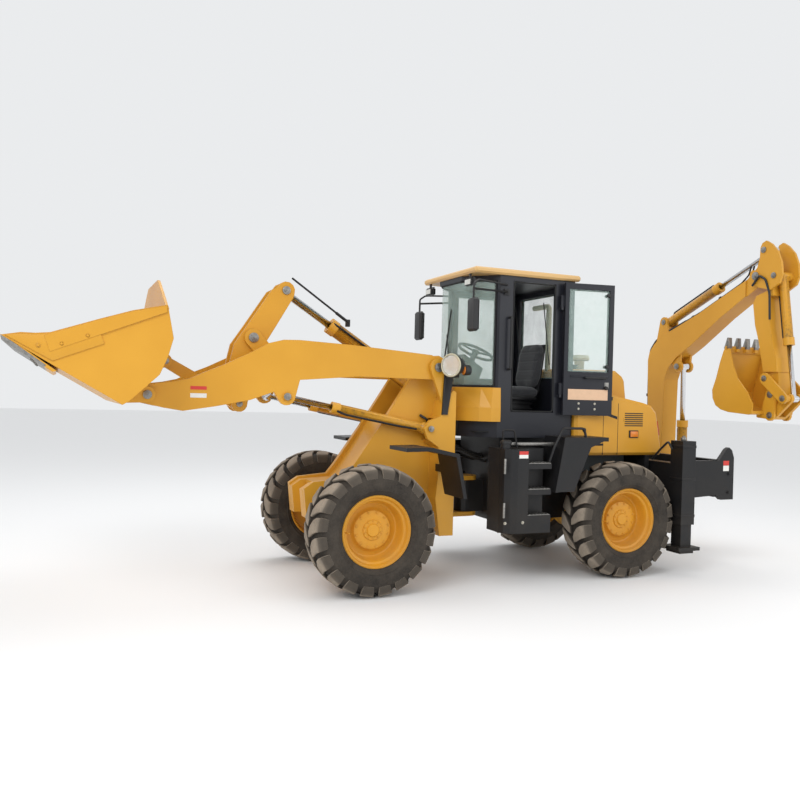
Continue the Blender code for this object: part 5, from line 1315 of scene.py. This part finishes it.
def bucketTeeth():
    # forged caps over the bucket's teeth, and a wear strip inside each cheek
    half = 0.265
    bm = bmesh.new()
    for k in range(5):
        dx = (k - 2) * half / 2
        verts = addPlate(bm, [(0.779, 1.8225), (0.846, 1.8225), (0.851, 1.8525), (0.846, 1.9415),
            (0.825, 1.9425), (0.792, 1.8525)], "x",
                         dx - 0.027, dx + 0.027, 0.004)
        bmesh.ops.translate(bm, vec=(hoeX, rearAxle.y, rearAxle.z), verts=verts)
        addRod(bm, onHoe(dx - 0.030, 0.815, 1.845), onHoe(dx + 0.030, 0.815, 1.845), 0.008, 12)
    finishPiece(bm, "toothCaps", bareSteel, "hoe_bucket")
    bm = bmesh.new()
    for side in (-1, 1):
        strip = [(0.87, 1.80), (0.905, 1.66), (0.965, 1.50), (1.10, 1.345), (1.125, 1.365), (0.995, 1.505),
            (0.935, 1.64), (0.905, 1.735)]
        verts = addPlate(bm, [(y - 0.03, z - 0.015) for y, z in strip], "x",
            *sorted((side * 0.268, side * 0.277)))
        bmesh.ops.translate(bm, vec=(hoeX, rearAxle.y, rearAxle.z), verts=verts)
    finishPiece(bm, "bucketCheeks", bareSteel, "hoe_bucket")


bucketTeeth()
print("backhoe trim built")


# every CAD node that still shows takes its finish; the round ones are copied smooth
replaced = {"seat", "steering_wheel", "air_intake", "mirror_left", "mirror_right", "headlamp_left",
    "headlamp_right"}
replaced |= {end + "_" + side + "_" + part for end in ("front", "rear") for side in ("left",
    "right") for part in ("tyre", "rim")}
replaced |= {name + "_" + part for name in ("lift_left", "lift_right", "tilt", "boom", "dipper",
    "bucket") for part in ("barrel", "rod")}
for name, node in nodes.items():
    if name not in replaced:
        node.data.materials.clear()
        node.data.materials.append(slotFinishes[nodeSlots[name]][0])
print("finishes assigned")


# floor, light and camera
def makeStage():
    bm = bmesh.new()
    bmesh.ops.create_grid(bm, x_segments=1, y_segments=1, size=60.0)
    mesh = bpy.data.meshes.new("floor")
    bm.to_mesh(mesh)
    bm.free()
    floor = bpy.data.objects.new("floor", mesh)
    bpy.context.scene.collection.objects.link(floor)
    material, _, shader = newMaterial("paleFloor", (0.86, 0.86, 0.86), 0.9)
    shader.inputs["Specular IOR Level"].default_value = 0.2
    mesh.materials.append(material)
    world = bpy.data.worlds.new("studio")
    bpy.context.scene.world = world
    world.use_nodes = True
    back = world.node_tree.nodes["Background"]
    back.inputs["Color"].default_value = (0.97, 0.985, 1.0, 1.0)
    back.inputs["Strength"].default_value = 0.85
    lights = {"key": ((6.5, 6.5, 7.5), 430.0, 5.0), "fill": ((-6.0, 7.5, 4.5), 160.0, 6.0),
        "top": ((-1.0, -3.0, 9.0), 260.0, 7.0)}
    for name, (at, power, size) in lights.items():
        light = bpy.data.lights.new(name, "AREA")
        light.energy, light.size = power, size
        lamp = bpy.data.objects.new(name, light)
        lamp.location = at
        lamp.rotation_euler = (Vector((0, 0, 1.2)) - Vector(at)).to_track_quat("-Z", "Y").to_euler()
        bpy.context.scene.collection.objects.link(lamp)


def makeCamera():
    view = {"place": (3.515, 7.3725, 1.8047), "yaw": 23.2555, "pitch": -0.3786, "roll": 1.5165,
        "lens": 36.252}
    yaw, pitch, roll = (radians(view[k]) for k in ("yaw", "pitch", "roll"))
    ahead = Vector((-sin(yaw) * cos(pitch), -cos(yaw) * cos(pitch), sin(pitch)))
    right = ahead.cross(Vector((0, 0, 1))).normalized()
    up = right.cross(ahead)
    right, up = right * cos(roll) + up * sin(roll), up * cos(roll) - right * sin(roll)
    data = bpy.data.cameras.new("studioCamera")
    data.lens, data.sensor_width, data.sensor_fit = view["lens"], 36.0, "AUTO"
    data.clip_end = 200.0
    camera = bpy.data.objects.new("studioCamera", data)
    bpy.context.scene.collection.objects.link(camera)
    turn = Matrix((right, up, -ahead)).transposed().to_4x4()
    camera.matrix_world = Matrix.Translation(view["place"]) @ turn
    bpy.context.scene.camera = camera


makeStage()
makeCamera()
bpy.context.scene.view_settings.view_transform = "Standard"
print("stage ready")
